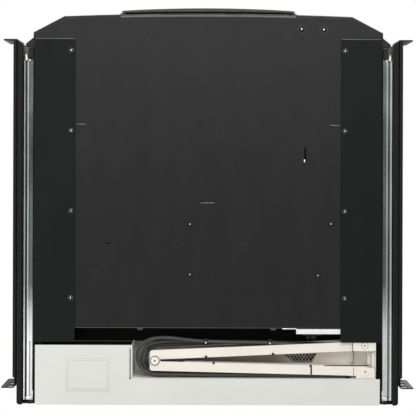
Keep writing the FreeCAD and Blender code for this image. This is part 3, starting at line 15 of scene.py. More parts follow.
import bpy
from bpy.types import Material, Mesh, NodeSocket, Object, World
from mathutils import Matrix, Vector

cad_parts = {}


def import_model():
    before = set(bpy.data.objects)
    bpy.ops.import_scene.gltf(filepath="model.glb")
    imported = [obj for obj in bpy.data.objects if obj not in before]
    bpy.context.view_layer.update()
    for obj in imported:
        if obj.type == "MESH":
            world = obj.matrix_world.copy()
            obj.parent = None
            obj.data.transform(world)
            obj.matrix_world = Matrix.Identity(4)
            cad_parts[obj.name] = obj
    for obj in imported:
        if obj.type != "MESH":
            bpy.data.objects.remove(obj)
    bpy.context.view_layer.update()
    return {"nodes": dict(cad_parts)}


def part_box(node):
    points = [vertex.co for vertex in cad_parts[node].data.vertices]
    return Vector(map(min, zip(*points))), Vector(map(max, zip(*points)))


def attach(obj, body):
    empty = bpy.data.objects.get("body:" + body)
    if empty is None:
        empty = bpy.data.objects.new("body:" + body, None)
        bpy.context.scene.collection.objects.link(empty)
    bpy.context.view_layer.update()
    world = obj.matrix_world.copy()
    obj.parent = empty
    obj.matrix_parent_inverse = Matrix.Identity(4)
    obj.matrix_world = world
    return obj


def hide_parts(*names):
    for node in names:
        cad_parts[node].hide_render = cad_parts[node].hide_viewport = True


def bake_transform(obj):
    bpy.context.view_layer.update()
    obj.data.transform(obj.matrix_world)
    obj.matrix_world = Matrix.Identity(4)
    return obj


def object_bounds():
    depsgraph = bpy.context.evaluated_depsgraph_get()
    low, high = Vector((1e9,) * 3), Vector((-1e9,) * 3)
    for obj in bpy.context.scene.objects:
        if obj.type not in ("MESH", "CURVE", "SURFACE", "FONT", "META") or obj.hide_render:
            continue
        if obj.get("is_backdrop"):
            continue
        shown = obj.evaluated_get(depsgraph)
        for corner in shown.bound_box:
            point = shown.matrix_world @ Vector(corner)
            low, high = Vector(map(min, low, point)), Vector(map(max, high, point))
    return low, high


log = logging.getLogger("console_drawer")

MM = 0.001


# ---------------------------------------------------------------- shader graphs
class Signal:
    """A socket of a shader graph that can be used in ordinary arithmetic."""

    def __init__(self, graph: Graph, socket: NodeSocket) -> None:
        """Wraps a socket of the graph."""
        self.graph = graph
        self.socket = socket

    def combine(self, operation: str, first: Signal | float, second: Signal | float) -> Signal:
        """Adds one Math node.

        Args:
            operation: The Math node's operation.
            first: Its first value.
            second: Its second value.

        Returns:
            The node's result.
        """
        return self.graph.node("ShaderNodeMath", {"operation": operation}, {0: first, 1: second})

    def __add__(self, other: Signal | float) -> Signal:
        """Adds."""
        return self.combine("ADD", self, other)

    __radd__ = __add__

    def __mul__(self, other: Signal | float) -> Signal:
        """Multiplies."""
        return self.combine("MULTIPLY", self, other)

    __rmul__ = __mul__

    def __sub__(self, other: Signal | float) -> Signal:
        """Subtracts."""
        return self.combine("SUBTRACT", self, other)

    def __rsub__(self, other: float) -> Signal:
        """Subtracts this from a number."""
        return self.combine("SUBTRACT", other, self)

    def __truediv__(self, other: float) -> Signal:
        """Divides by a number."""
        return self.combine("DIVIDE", self, other)

    def below(self, limit: float) -> Signal:
        """Is 1 where the value is under the limit, and 0 elsewhere."""
        return self.combine("LESS_THAN", self, limit)

    def above(self, limit: float) -> Signal:
        """Is 1 where the value is over the limit, and 0 elsewhere."""
        return self.combine("GREATER_THAN", self, limit)

    def size(self) -> Signal:
        """Drops the sign."""
        return self.combine("ABSOLUTE", self, 0.0)

    def wave(self) -> Signal:
        """Takes the sine."""
        return self.combine("SINE", self, 0.0)

    def larger(self, other: Signal | float) -> Signal:
        """Takes the larger of the two."""
        return self.combine("MAXIMUM", self, other)


Colour = tuple[float, float, float]
Range = tuple[float, float]
Spot = tuple[float, float]
Corner = tuple[float, float, float]
Rectangle = tuple[float, float, float, float]


def with_alpha(colour: Colour) -> tuple[float, float, float, float]:
    """Makes a colour opaque, as sockets want it."""
    return (*colour, 1.0)


class Graph:
    """Builds the nodes of one material, or of the world."""

    def __init__(self, owner: Material | World) -> None:
        """Starts with no nodes.

        Args:
            owner: The material or the world.
        """
        owner.use_nodes = True
        self.owner = owner
        self.tree = owner.node_tree
        self.tree.nodes.clear()

    def node(self, kind: str, settings: dict[str, object] | None = None,
             values: dict[int | str, object] | None = None, output: int | str = 0) -> Signal:
        """Adds a node.

        Args:
            kind: Blender's name of the node type.
            settings: Its own settings. "stops" are a ramp's places and colours.
            values: Numbers, colours or signals for its input sockets.
            output: Which of its outputs is wanted.

        Returns:
            That output.
        """
        made = self.tree.nodes.new(kind)
        for name, value in (settings or {}).items():
            if name == "stops":
                self.set_stops(made, value)
            else:
                setattr(made, name, value)
        for key, value in (values or {}).items():
            if isinstance(value, Signal):
                self.tree.links.new(value.socket, made.inputs[key])
            else:
                made.inputs[key].default_value = value
        return Signal(self, made.outputs[output])

    @staticmethod
    def set_stops(ramp: bpy.types.Node, stops: list[tuple[float, Colour]]) -> None:
        """Gives a ramp its stops, each a place and a colour.

        Args:
            ramp: The ramp's node.
            stops: The stops, from low to high.
        """
        elements = ramp.color_ramp.elements
        while len(elements) < len(stops):
            elements.new(0.5)
        for element, (place, colour) in zip(elements, stops):
            element.position = place
            element.color = with_alpha(colour)

    def place(self) -> Signal:
        """Gives the position on the object, in metres."""
        return self.node("ShaderNodeTexCoord", output="Object")

    def across(self) -> Signal:
        """Gives the piece's own surface map."""
        return self.node("ShaderNodeUVMap")

    def axis(self, position: Signal, name: str) -> Signal:
        """Gives one coordinate of a position, by its name X, Y or Z."""
        return self.node("ShaderNodeSeparateXYZ", values={0: position}, output=name)

    def stretched(self, position: Signal, scale: tuple[float, float, float]) -> Signal:
        """Scales a position by axis, so that a pattern on it runs along an axis."""
        return self.node("ShaderNodeMapping", values={"Vector": position, "Scale": scale})

    def noise(self, position: Signal, scale: float, detail: float = 2.0,
              rough: float = 0.5) -> Signal:
        """Gives noise between 0 and 1.

        Args:
            position: Where it is read.
            scale: Grains in a metre.
            detail: How many finer layers it has.
            rough: How strong the finer layers are.

        Returns:
            The noise.
        """
        return self.node("ShaderNodeTexNoise", None,
                         {"Vector": position, "Scale": scale, "Detail": detail, "Roughness": rough})

    def ramp(self, value: Signal, stops: list[tuple[float, Colour]]) -> Signal:
        """Turns a value into a colour."""
        return self.node("ShaderNodeValToRGB", {"stops": stops}, {0: value})

    def spread(self, value: Signal, low: float, high: float, start: float = 0.0,
               end: float = 1.0) -> Signal:
        """Maps the value's range from low to high onto start to end, and stops there."""
        return self.node("ShaderNodeMapRange", None, {0: value, 1: low, 2: high, 3: start, 4: end})

    def mix(self, share: Signal | float, first: Signal | Colour, second: Signal | Colour) -> Signal:
        """Mixes two colours.

        Args:
            share: How much of the second.
            first: A colour.
            second: The other colour.

        Returns:
            The mixed colour.
        """
        colours = [c if isinstance(c, Signal) else with_alpha(c) for c in (first, second)]
        return self.node("ShaderNodeMix", {"data_type": "RGBA"},
                         {0: share, 6: colours[0], 7: colours[1]}, output=2)

    def bump(self, height: Signal, depth: float) -> Signal:
        """Turns a height between 0 and 1 into a normal, for a relief of that depth."""
        return self.node("ShaderNodeBump", None,
                         {"Height": height, "Distance": depth, "Strength": 1.0})

    def surface(self, colour: Signal, rough: Signal, relief: Signal,
                constants: dict[str, float] | None = None) -> Material:
        """Finishes the material with one Principled shader.

        Args:
            colour: Its base colour.
            rough: Its roughness.
            relief: Its normal.
            constants: The shader's values that don't vary.

        Returns:
            The material.
        """
        values = {"Base Color": colour, "Roughness": rough, "Normal": relief, **(constants or {})}
        return self.output(self.node("ShaderNodeBsdfPrincipled", None, values))

    def output(self, shader: Signal) -> Material | World:
        """Sends a shader to the surface, and gives what the nodes belong to.

        Args:
            shader: The last shader.

        Returns:
            The material or the world.
        """
        kind = "World" if isinstance(self.owner, World) else "Material"
        end = self.tree.nodes.new(f"ShaderNodeOutput{kind}")
        self.tree.links.new(shader.socket, end.inputs["Surface"])
        return self.owner


# ---------------------------------------------------------------- finishes
@dataclass(frozen=True)
class PowderCoat:
    """Fine-textured powder coat on sheet steel."""

    name: str
    colour: Colour
    roughness: float = 0.55
    mottle: float = 0.25
    texture: float = 0.00005
    gloss: float = 0.2
    # How much lighter the coat is painted at the front, as painted light from the front; 0 for
    # none.
    front_light: float = 0.0

    def make(self) -> Material:
        """Builds the material: orange-peel relief, faint clouds, and painted light towards the
        front.
        """
        graph = Graph(bpy.data.materials.new(self.name))
        place = graph.place()
        peel = graph.noise(place, scale=1500, detail=3)
        cloud = graph.noise(graph.stretched(place, (1, 0.25, 1)), scale=45, detail=4, rough=0.6)
        speck = graph.noise(place, scale=3200, detail=1)
        tone = graph.spread(cloud * 0.6 + speck * 0.4, 0.3, 0.7, 1 - self.mottle, 1 + self.mottle)
        dark = tuple(0.75 * c for c in self.colour)
        light = tuple(1.3 * c for c in self.colour)
        colour = graph.mix(graph.spread(tone, 0.75, 1.25), dark, light)
        # Painted light: lighter towards the front, from Y 0.21 to Y 0, as if lit from the front.
        if self.front_light:
            front = graph.spread(graph.axis(place, "Y"), 0.0, 0.21, 1.0, 0.0)
            front_lit_colour = tuple(self.front_light * c for c in self.colour)
            colour = graph.mix(front, colour, graph.mix(tone * 0.5, self.colour, front_lit_colour))
        rough = graph.spread(peel, 0.2, 0.8, self.roughness - 0.06, self.roughness + 0.06)
        return graph.surface(colour, rough, graph.bump(peel, self.texture),
                             {"Specular IOR Level": self.gloss})


@dataclass(frozen=True)
class RolledSteel:
    """Zinc-plated steel rolled along Y, with drawn lines, dull patches and painted reflections:
    bands across the profile and a brighter rear stretch.
    """

    name: str
    light: Colour
    dark: Colour
    roughness: float = 0.32
    # The tail fields paint a brighter rear stretch, a painted reflection; the bands paint light and
    # dark reflections across the profile.
    tail: float = 0.0
    rear_reflection_from: float = 0.285
    rear_reflection_length: float = 0.07
    reflection_bands: tuple[tuple[float, float], ...] = ()
    rear_reflection_bands: tuple[tuple[float, float], ...] = ()
    relief: float = 0.00002

    def make(self) -> Material:
        """Builds the material: long thin lines, dull clouds, painted reflection bands and a
        brighter rear stretch that is a painted reflection.
        """
        graph = Graph(bpy.data.materials.new(self.name))
        place = graph.place()
        lines = graph.noise(graph.stretched(place, (1, 0.012, 1)), scale=2600, detail=3, rough=0.6)
        patch = graph.noise(graph.stretched(place, (1, 0.3, 1)), scale=60, detail=3)
        spangle = graph.noise(place, scale=380, detail=2)
        share = graph.spread(lines * 0.55 + patch * 0.3 + spangle * 0.15, 0.34, 0.66)
        painted_bright = graph.mix(share, (0.46, 0.49, 0.48), (0.78, 0.80, 0.79))
        # Painted reflections: light and dark bands across the profile, by distance from the middle
        # in X, for the front and for the rear stretch.
        if self.reflection_bands:
            across = graph.spread((graph.axis(place, "X") + 0.0007).size(), 0.2060, 0.2175)
            front, rear = (graph.ramp(across, [(at, (v, v, v)) for at, v in stops])
                           for stops in (self.reflection_bands, self.rear_reflection_bands))
            painted_bright = graph.mix(rear, self.dark, painted_bright)
            share = share * 0.22 + front * 0.78
        colour = graph.mix(share, self.dark, self.light)
        # Painted reflection: from a given Y on, the rear stretch turns brighter.
        rear = graph.spread(graph.axis(place, "Y"), self.rear_reflection_from,
                            self.rear_reflection_from + self.rear_reflection_length)
        colour = graph.mix(rear * self.tail, colour, painted_bright)
        rough = graph.spread(patch, 0.3, 0.7, self.roughness - 0.07, self.roughness + 0.09)
        return graph.surface(colour, rough, graph.bump(lines, self.relief), {"Metallic": 1.0})


@dataclass(frozen=True)
class TurnedSteel:
    """Bright plated steel of screws, pins and rivets."""

    name: str
    colour: Colour
    roughness: float = 0.28
    relief: float = 0.00002

    def make(self) -> Material:
        """Builds the material: small pits and a slightly uneven plating."""
        graph = Graph(bpy.data.materials.new(self.name))
        place = graph.place()
        pits = graph.noise(place, scale=2400, detail=2)
        cloud = graph.noise(place, scale=320, detail=2)
        dark = tuple(0.7 * c for c in self.colour)
        colour = graph.mix(graph.spread(cloud, 0.35, 0.65), dark, self.colour)
        rough = graph.spread(pits, 0.3, 0.7, self.roughness - 0.06, self.roughness + 0.12)
        return graph.surface(colour, rough, graph.bump(pits, self.relief), {"Metallic": 1.0})


@dataclass(frozen=True)
class SatinPaint:
    """Smooth pale paint on sheet steel."""

    name: str
    colour: Colour
    shade: Colour
    roughness: float = 0.42
    # Colour of the painted shade between the arms, or None.
    deep: Colour | None = None
    gloss: float = 0.4
    relief: float = 0.00002

    def make(self) -> Material:
        """Builds the material: clouds, handling marks, and painted shade in dark brown between the
        arms.
        """
        graph = Graph(bpy.data.materials.new(self.name))
        place = graph.place()
        cloud = graph.noise(place, scale=16, detail=3)
        smear = graph.noise(graph.stretched(place, (0.4, 1, 1)), scale=70, detail=4, rough=0.65)
        grain = graph.noise(place, scale=2200, detail=2)
        share = graph.spread(cloud * 0.6 + smear * 0.4, 0.38, 0.66)
        colour = graph.mix(share, self.colour, self.shade)
        # Painted shade: faces higher up inside the arm, from Z -0.016 to -0.004, turn dark brown,
        # most at the left end and least at the right.
        if self.deep:
            inside = graph.spread(graph.axis(place, "Z"), -0.016, -0.004)
            shade_share = graph.spread(graph.axis(place, "X"), 0.08, 0.16, 0.9, 0.05)
            colour = graph.mix(inside * shade_share, colour, self.deep)
        rough = graph.spread(smear, 0.3, 0.7, self.roughness - 0.06, self.roughness + 0.08)
        return graph.surface(colour, rough, graph.bump(grain, self.relief),
                             {"Specular IOR Level": self.gloss})


@dataclass(frozen=True)
class MouldedPlastic:
    """Moulded plastic with a spark-eroded grain."""

    name: str
    colour: Colour
    roughness: float = 0.5
    grain: float = 0.00006
    gloss: float = 0.4
    # Colour of the painted highlight on faces that look forward and down, or None.
    edge: Colour | None = None

    def make(self) -> Material:
        """Builds the material: pebbled grain, lighter on its peaks, and a painted highlight on the
        lower front edge.
        """
        graph = Graph(bpy.data.materials.new(self.name))
        place = graph.place()
        pebble = graph.noise(place, scale=1900, detail=2, rough=0.4)
        cloud = graph.noise(place, scale=90, detail=2)
        light = tuple(min(1.0, 1.35 * c) for c in self.colour)
        dark = tuple(0.8 * c for c in self.colour)
        colour = graph.mix(graph.spread(pebble * 0.5 + cloud * 0.5, 0.35, 0.65), dark, light)
        # Painted highlight: faces that look forward and down are lightened, where the low front
        # lamp would catch them.
        if self.edge:
            normal = graph.node("ShaderNodeNewGeometry", output="Normal")
            forward = graph.spread(graph.axis(normal, "Y"), -0.15, -0.6)
            downward = graph.spread(graph.axis(normal, "Z"), -0.1, -0.35)
            colour = graph.mix(forward * downward, colour, self.edge)
        rough = graph.spread(pebble, 0.3, 0.7, self.roughness + 0.06, self.roughness - 0.06)
        return graph.surface(colour, rough, graph.bump(pebble, self.grain),
                             {"Specular IOR Level": self.gloss})


@dataclass(frozen=True)
class DisplayFace:
    """Anti-glare face of the display: a dark picture area in a slightly lighter border."""

    name: str
    half_width: float
    low_y: float
    high_y: float
    relief: float = 0.00001

    def make(self) -> Material:
        """Builds the material: the picture area is darker and smoother than its border."""
        graph = Graph(bpy.data.materials.new(self.name))
        place = graph.place()
        beside = graph.axis(place, "X").size().above(self.half_width)
        before = graph.axis(place, "Y").below(self.low_y)
        behind = graph.axis(place, "Y").above(self.high_y)
        border = beside.larger(before).larger(behind)
        haze = graph.noise(place, scale=3000, detail=2)
        sheen = graph.noise(place, scale=9, detail=2)
        picture = graph.mix(graph.spread(sheen, 0.35, 0.65), (0.008, 0.010, 0.014),
                            (0.013, 0.015, 0.02))
        colour = graph.mix(border, picture, (0.035, 0.035, 0.037))
        rough = graph.spread(haze, 0.2, 0.8, 0.16, 0.24)
        return graph.surface(colour, rough, graph.bump(haze, self.relief))


@dataclass(frozen=True)
class CircuitLaminate:
    """Green laminate with lighter tracks under its lacquer."""

    name: str
    colour: Colour = (0.012, 0.11, 0.045)
    track: Colour = (0.03, 0.2, 0.08)
    waves: float = 3140.0
    relief: float = 0.00003

    def make(self) -> Material:
        """Builds the material: straight tracks on a 2 mm grid, broken up at random."""
        graph = Graph(bpy.data.materials.new(self.name))
        place = graph.place()
        along_x = (graph.axis(place, "X") * self.waves).wave()
        along_y = (graph.axis(place, "Y") * self.waves).wave()
        choose = graph.noise(place, scale=120, detail=1).above(0.5)
        lines = along_x * choose + along_y * (1 - choose)
        mask = lines.above(0.55)
        rough = graph.spread(graph.noise(place, scale=500, detail=2), 0.3, 0.7, 0.28, 0.4)
        colour = graph.mix(mask, self.colour, self.track)
        return graph.surface(colour, rough, graph.bump(mask, self.relief))


@dataclass(frozen=True)
class BraidedSleeve:
    """Black braided sleeve: two sets of strands that cross round the cable."""

    name: str
    strand: Colour = (0.045, 0.044, 0.038)
    gap: Colour = (0.006, 0.006, 0.005)
    strands: int = 9
    lay: float = 1400.0
    relief: float = 0.00025

    def make(self) -> Material:
        """Builds the material from the piece's map: U runs along it in metres, V once round it."""
        graph = Graph(bpy.data.materials.new(self.name))
        position = graph.across()
        along = graph.axis(position, "X") * self.lay
        around = graph.axis(position, "Y") * (math.tau * self.strands)
        left = (along + around).wave().size()
        right = (along - around).wave().size()
        height = left.larger(right)
        shade = graph.noise(graph.place(), scale=160, detail=2)
        colour = graph.mix(graph.spread(height, 0.35, 0.95), self.gap, self.strand)
        colour = graph.mix(graph.spread(shade, 0.3, 0.75, 0.0, 0.4), colour, (0.02, 0.02, 0.018))
        rough = graph.spread(height, 0.2, 1.0, 0.7, 0.42)
        return graph.surface(colour, rough, graph.bump(height, self.relief))


class Coat(Enum):
    """The finishes of this object, one for each kind of surface."""

    # PAN is painted lighter towards the front: painted light.
    PAN = PowderCoat("pan_powder_coat", (0.0120, 0.0120, 0.0120), 0.6, gloss=0.12, front_light=2.4)
    SIDE = PowderCoat("side_plate_powder_coat", (0.0068, 0.0076, 0.0076), 0.5, 0.18, gloss=0.08)
    RAIL = PowderCoat("rail_powder_coat", (0.0060, 0.0060, 0.0050), 0.46, 0.18, gloss=0.12)
    # REAR: near black, darker than the rail's paint: painted shade for the crossbar deep behind the
    # pan, and for the black sheets and strips put in shaded gaps.
    REAR = PowderCoat("shade_black_coat", (0.0022, 0.0021, 0.0018), 0.6, 0.18, gloss=0.04)
    # DIMPLE: lighter than the pan, a painted highlight on the raised beads, and lighter to the
    # front as painted light.
    DIMPLE = PowderCoat("dimple_powder_coat", (0.0300, 0.0300, 0.0300), 0.6, gloss=0.12, front_light=1.6)
    # WORN: a dark grey, lighter than the pan's paint, for the rings by two screws and the lip under
    # the handle.
    WORN = PowderCoat("dark_grey_powder_coat", (0.0600, 0.0600, 0.0580), 0.6, gloss=0.12)
    # EDGE: painted highlight for lit edges: strips along the side plates and the pan, slot lips and
    # the handle's lower rim.
    EDGE = PowderCoat("edge_highlight_coat", (0.115, 0.113, 0.101), 0.5, 0.2, gloss=0.2)
    LID = PowderCoat("lid_powder_coat", (0.0180, 0.0180, 0.0180), 0.5, gloss=0.3)
    # ZINC: its dark colour, its bands and its bright rear stretch are painted reflections of the
    # slides' surroundings.
    ZINC = RolledSteel("slide_zinc", (0.40, 0.43, 0.425), (0.022, 0.030, 0.028), 0.3, 0.95,
                       reflection_bands=((0.0, 0.04), (0.44, 0.07), (0.50, 0.80), (0.58, 0.80), (0.66, 0.0),
                              (0.80, 0.0), (0.88, 0.85), (1.0, 0.85)),
                       rear_reflection_bands=((0.0, 0.85), (0.44, 0.95), (0.58, 0.95), (0.66, 0.08),
                                   (0.78, 0.1), (0.86, 1.0)))
    BARE = RolledSteel("bare_sheet", (0.86, 0.88, 0.87), (0.70, 0.72, 0.71), 0.36)
    SCREW = TurnedSteel("screw_nickel", (0.90, 0.90, 0.88))
    # RIM: lighter metal for the screw rims, a painted highlight.
    RIM = TurnedSteel("screw_rim_highlight", (0.20, 0.20, 0.185), 0.4)
    BLACK_ZINC = TurnedSteel("screw_black_zinc", (0.022, 0.022, 0.020), 0.42)
    BOX = SatinPaint("box_paint", (0.665, 0.67, 0.635), (0.625, 0.63, 0.595))
    # BOX_LINE: a little darker than the box paint: painted shade on the raised lines of the pressed
    # panel.
    BOX_LINE = SatinPaint("box_line_shade", (0.57, 0.575, 0.545), (0.53, 0.535, 0.505))
    # ARM: its last colour is the painted shade, dark brown, between the arms.
    ARM = SatinPaint("arm_paint", (0.81, 0.765, 0.685), (0.735, 0.69, 0.61), 0.38,
                     (0.13, 0.095, 0.06))
    PIN = SatinPaint("pin_paint", (0.81, 0.77, 0.69), (0.75, 0.71, 0.63), 0.36)
    # MOULDING: its edge colour is a painted highlight on the lower front edges.
    MOULDING = MouldedPlastic("bezel_plastic", (0.0140, 0.0140, 0.0128), 0.5, gloss=0.16,
                              edge=(0.060, 0.060, 0.052))
    KEY = MouldedPlastic("key_plastic", (0.03, 0.03, 0.032), 0.42, 0.00004)
    PALE = MouldedPlastic("slide_guide_plastic", (0.86, 0.86, 0.84), 0.4)
    TIE = MouldedPlastic("tie_nylon", (0.009, 0.008, 0.007), 0.35, 0.00003, 0.2)
    SCREEN = DisplayFace("display_face", 0.1665, 0.0195, 0.2845)
    BOARD = CircuitLaminate("circuit_laminate")
    SLEEVE = BraidedSleeve("braided_sleeve")
    WIRE = TurnedSteel("mesh_wire", (0.97, 0.96, 0.92), 0.3)


class Paintshop:
    """Makes each finish once and puts it on pieces."""

    def __init__(self, nodes: dict[str, Object]) -> None:
        """Starts with the frame's nodes, and with no finish made."""
        self.nodes = nodes
        self.made: dict[Coat, Material] = {}

    def material(self, coat: Coat) -> Material:
        """Gives the material of a finish, made at its first use."""
        if coat not in self.made:
            self.made[coat] = coat.value.make()
        return self.made[coat]

    def dress(self, piece: Object, coat: Coat) -> Object:
        """Gives a piece one finish all over.

        Args:
            piece: The mesh to dress.
            coat: Its finish.

        Returns:
            The same piece.
        """
        piece.data.materials.clear()
        piece.data.materials.append(self.material(coat))
        return piece

    def dress_node(self, node: str, coat: Coat) -> None:
        """Gives a node of the frame one finish in all its slots.

        Args:
            node: The node's name.
            coat: Its finish.
        """
        piece = self.nodes[node]
        for slot in piece.material_slots:
            slot.material = self.material(coat)
        if not piece.material_slots:
            piece.data.materials.append(self.material(coat))


# ---------------------------------------------------------------- modelling by hand
FaceTest = Callable[[Vector, Vector], bool]
PointTest = Callable[[Vector], bool]


def faces_down(centre: Vector, normal: Vector) -> bool:
    """Tells whether a face looks straight down."""
    return normal.z < -0.9


def moved(x: float, y: float, z: float) -> Matrix:
    """Makes the matrix of a move."""
    return Matrix.Translation((x, y, z))


class Bench:
    """Models pieces with primitives and edit-mode operators."""

    def clear(self) -> None:
        """Deselects everything."""
        bpy.ops.object.select_all(action="DESELECT")

    def take(self, piece: Object) -> None:
        """Selects one piece alone and makes it active.

        Args:
            piece: The piece.
        """
        self.clear()
        piece.select_set(True)
        bpy.context.view_layer.objects.active = piece

    def settle(self, name: str) -> Object:
        """Names the active piece and puts its place and size into its mesh.

        Args:
            name: The piece's name.

        Returns:
            The piece, with its object at the origin.
        """
        piece = bpy.context.active_object
        self.take(piece)
        bpy.ops.object.transform_apply(location=True, rotation=True, scale=True)
        piece.name = name
        piece.data.name = name
        return piece

    def block(self, name: str, low: Vector, high: Vector) -> Object:
        """Adds a block between two corners.

        Args:
            name: The piece's name.
            low: Its lowest corner.
            high: Its highest corner.

        Returns:
            The block.
        """
        self.clear()
        bpy.ops.mesh.primitive_cube_add(size=1, location=(low + high) / 2)
        bpy.context.active_object.scale = high - low
        return self.settle(name)

    def plate(self, name: str, low: Vector, high: Vector, rounding: float) -> Object:
        """Adds a block between two corners, with its edges rounded to that width."""
        return self.round_edges(self.block(name, low, high), rounding)

    def disc(self, name: str, centre: Vector, radius: float, height: float,
             sides: int = 32) -> Object:
        """Adds an upright cylinder.

        Args:
            name: The piece's name.
            centre: Middle of its lower face.
            radius: Its radius.
            height: Its height.
            sides: Facets round it.

        Returns:
            The cylinder.
        """
        self.clear()
        bpy.ops.mesh.primitive_cylinder_add(vertices=sides, radius=radius, depth=height,
                                            location=centre + Vector((0, 0, height / 2)))
        return self.settle(name)

    def ring(self, name: str, centre: Vector, radius: float, wire: float,
             sides: int = 36) -> Object:
        """Adds a lying ring of round section.

        Args:
            name: The piece's name.
            centre: Its middle.
            radius: From its middle to that of its section.
            wire: Radius of its section.
            sides: Facets round it.

        Returns:
            The ring.
        """
        self.clear()
        bpy.ops.mesh.primitive_torus_add(major_radius=radius, minor_radius=wire, location=centre,
                                         major_segments=sides, minor_segments=8)
        return self.settle(name)

    def open_with(self, mesh: Mesh, mode: str, chosen: Iterable[int]) -> None:
        """Goes to edit mode with those elements selected and no others.

        Args:
            mesh: The mesh of the active piece.
            mode: VERT, EDGE or FACE.
            chosen: Numbers of the elements to select.
        """
        bpy.ops.object.mode_set(mode="EDIT")
        bpy.ops.mesh.select_mode(type=mode)
        bpy.ops.mesh.select_all(action="DESELECT")
        bpy.ops.object.mode_set(mode="OBJECT")
        parts = {"VERT": mesh.vertices, "EDGE": mesh.edges, "FACE": mesh.polygons}[mode]
        for number in chosen:
            parts[number].select = True
        bpy.ops.object.mode_set(mode="EDIT")

    def pick_faces(self, piece: Object, test: FaceTest) -> None:
        """Opens the piece in edit mode with the faces selected whose centre and normal pass.

        Args:
            piece: The piece.
            test: Says which faces, from centre and normal.
        """
        self.take(piece)
        chosen = [face.index for face in piece.data.polygons if test(face.center, face.normal)]
        self.open_with(piece.data, "FACE", chosen)

    def pick_points(self, piece: Object, test: PointTest) -> None:
        """Opens the piece in edit mode with the vertices selected whose place passes.

        Args:
            piece: The piece.
            test: Says which vertices, from their place.
        """
        self.take(piece)
        chosen = [vertex.index for vertex in piece.data.vertices if test(vertex.co)]
        self.open_with(piece.data, "VERT", chosen)

    def pick_all(self, piece: Object) -> None:
        """Opens the piece in edit mode with everything selected.

        Args:
            piece: The piece.
        """
        self.take(piece)
        bpy.ops.object.mode_set(mode="EDIT")
        bpy.ops.mesh.select_all(action="SELECT")

    def close(self) -> None:
        """Leaves edit mode."""
        bpy.ops.object.mode_set(mode="OBJECT")

    def push(self, way: Corner) -> None:
        """Extrudes what is selected, that way and that far."""
        bpy.ops.mesh.extrude_region_move(TRANSFORM_OT_translate={"value": way})

    def squeeze(self, factors: Corner, centre: Corner = (0, 0, 0)) -> None:
        """Scales what is selected about a centre, and leaves edit mode."""
        bpy.ops.transform.resize(value=factors, center_override=centre)
        self.close()

    def hollow(self, rim: float, depth: float) -> None:
        """Sinks the selected downward face, but for a rim, and leaves edit mode.

        Args:
            rim: Width of what stays.
            depth: How far the rest rises into the piece.
        """
        bpy.ops.mesh.inset(thickness=rim)
        self.push((0, 0, depth))
        self.close()

    def divide_length(self, piece: Object, longer: float, cuts: int) -> None:
        """Divides the edges that run along X.

        Args:
            piece: The piece.
            longer: They are longer than this.
            cuts: How often each is cut.
        """
        self.take(piece)
        points = piece.data.vertices
        chosen = [edge.index for edge in piece.data.edges
                  if abs(points[edge.vertices[0]].co.x - points[edge.vertices[1]].co.x) > longer]
        self.open_with(piece.data, "EDGE", chosen)
        bpy.ops.mesh.subdivide(number_cuts=cuts)
        self.close()

    def face_outwards(self, piece: Object) -> Object:
        """Turns the faces of a closed piece outwards.

        Args:
            piece: The piece.

        Returns:
            The same piece.
        """
        self.pick_all(piece)
        bpy.ops.mesh.normals_make_consistent(inside=False)
        self.close()
        return piece

    def smooth(self, piece: Object, angle: float = 60.0) -> Object:
        """Shades the piece smooth where its edges are flatter than the angle, in degrees.

        Args:
            piece: The piece.
            angle: The angle.

        Returns:
            The same piece.
        """
        self.take(piece)
        bpy.ops.object.shade_smooth_by_angle(angle=math.radians(angle))
        return piece

    def round_edges(self, piece: Object, width: float, steps: int = 2,
                    angle: float = 40.0) -> Object:
        """Rounds every edge sharper than the angle, and smooths the rest.

        Args:
            piece: The piece.
            width: Width of the rounding.
            steps: Facets across it.
            angle: Edges flatter than this stay, in degrees.

        Returns:
            The same piece.
        """
        self.take(piece)
        bevel = piece.modifiers.new("rounding", "BEVEL")
        bevel.width = width
        bevel.segments = steps
        bevel.limit_method = "ANGLE"
        bevel.angle_limit = math.radians(angle)
        bpy.ops.object.modifier_apply(modifier=bevel.name)
        return self.smooth(piece, angle)

    def copy(self, piece: Object, name: str, place: Matrix) -> Object:
        """Copies a piece with its own mesh, moved by a matrix that goes into that mesh.

        Args:
            piece: What is copied.
            name: The copy's name.
            place: The matrix.

        Returns:
            The copy.
        """
        twin = bpy.data.objects.new(name, piece.data.copy())
        bpy.context.scene.collection.objects.link(twin)
        twin.data.transform(place)
        twin.data.name = name
        return twin

    def merged_copy(self, node: Object, name: str) -> Object:
        """Copies a node of the frame under a new name, with its loose triangles merged.

        Args:
            node: The node's object.
            name: The copy's name.

        Returns:
            The copy.
        """
        twin = self.copy(node, name, Matrix.Identity(4))
        self.pick_all(twin)
        bpy.ops.mesh.remove_doubles(threshold=0.00001)
        self.close()
        return twin

    def join(self, name: str, pieces: list[Object]) -> Object:
        """Joins pieces into one of that name.

        Args:
            name: The new name.
            pieces: What is joined.

        Returns:
            The joined piece.
        """
        self.clear()
        for piece in pieces:
            piece.select_set(True)
        bpy.context.view_layer.objects.active = pieces[0]
        bpy.ops.object.join()
        return self.settle(name)

    def spread(self, name: str, model: Object, places: list[Matrix]) -> Object:
        """Puts a copy of the model at each place, joins the copies and deletes the model.

        Args:
            name: The joined piece's name.
            model: What is copied.
            places: Where the copies go.

        Returns:
            The joined piece.
        """
        copies = [self.copy(model, f"{name}_{number}", place)
                  for number, place in enumerate(places)]
        bpy.data.objects.remove(model)
        return self.join(name, copies)

    def cut(self, piece: Object, point: Vector, normal: Vector) -> None:
        """Cuts off what lies past a plane, and closes the cut.

        Args:
            piece: The piece.
            point: A point of the plane.
            normal: Points to the side that goes.
        """
        self.pick_all(piece)
        bpy.ops.mesh.bisect(plane_co=point, plane_no=normal, use_fill=True, clear_outer=True)
        self.close()


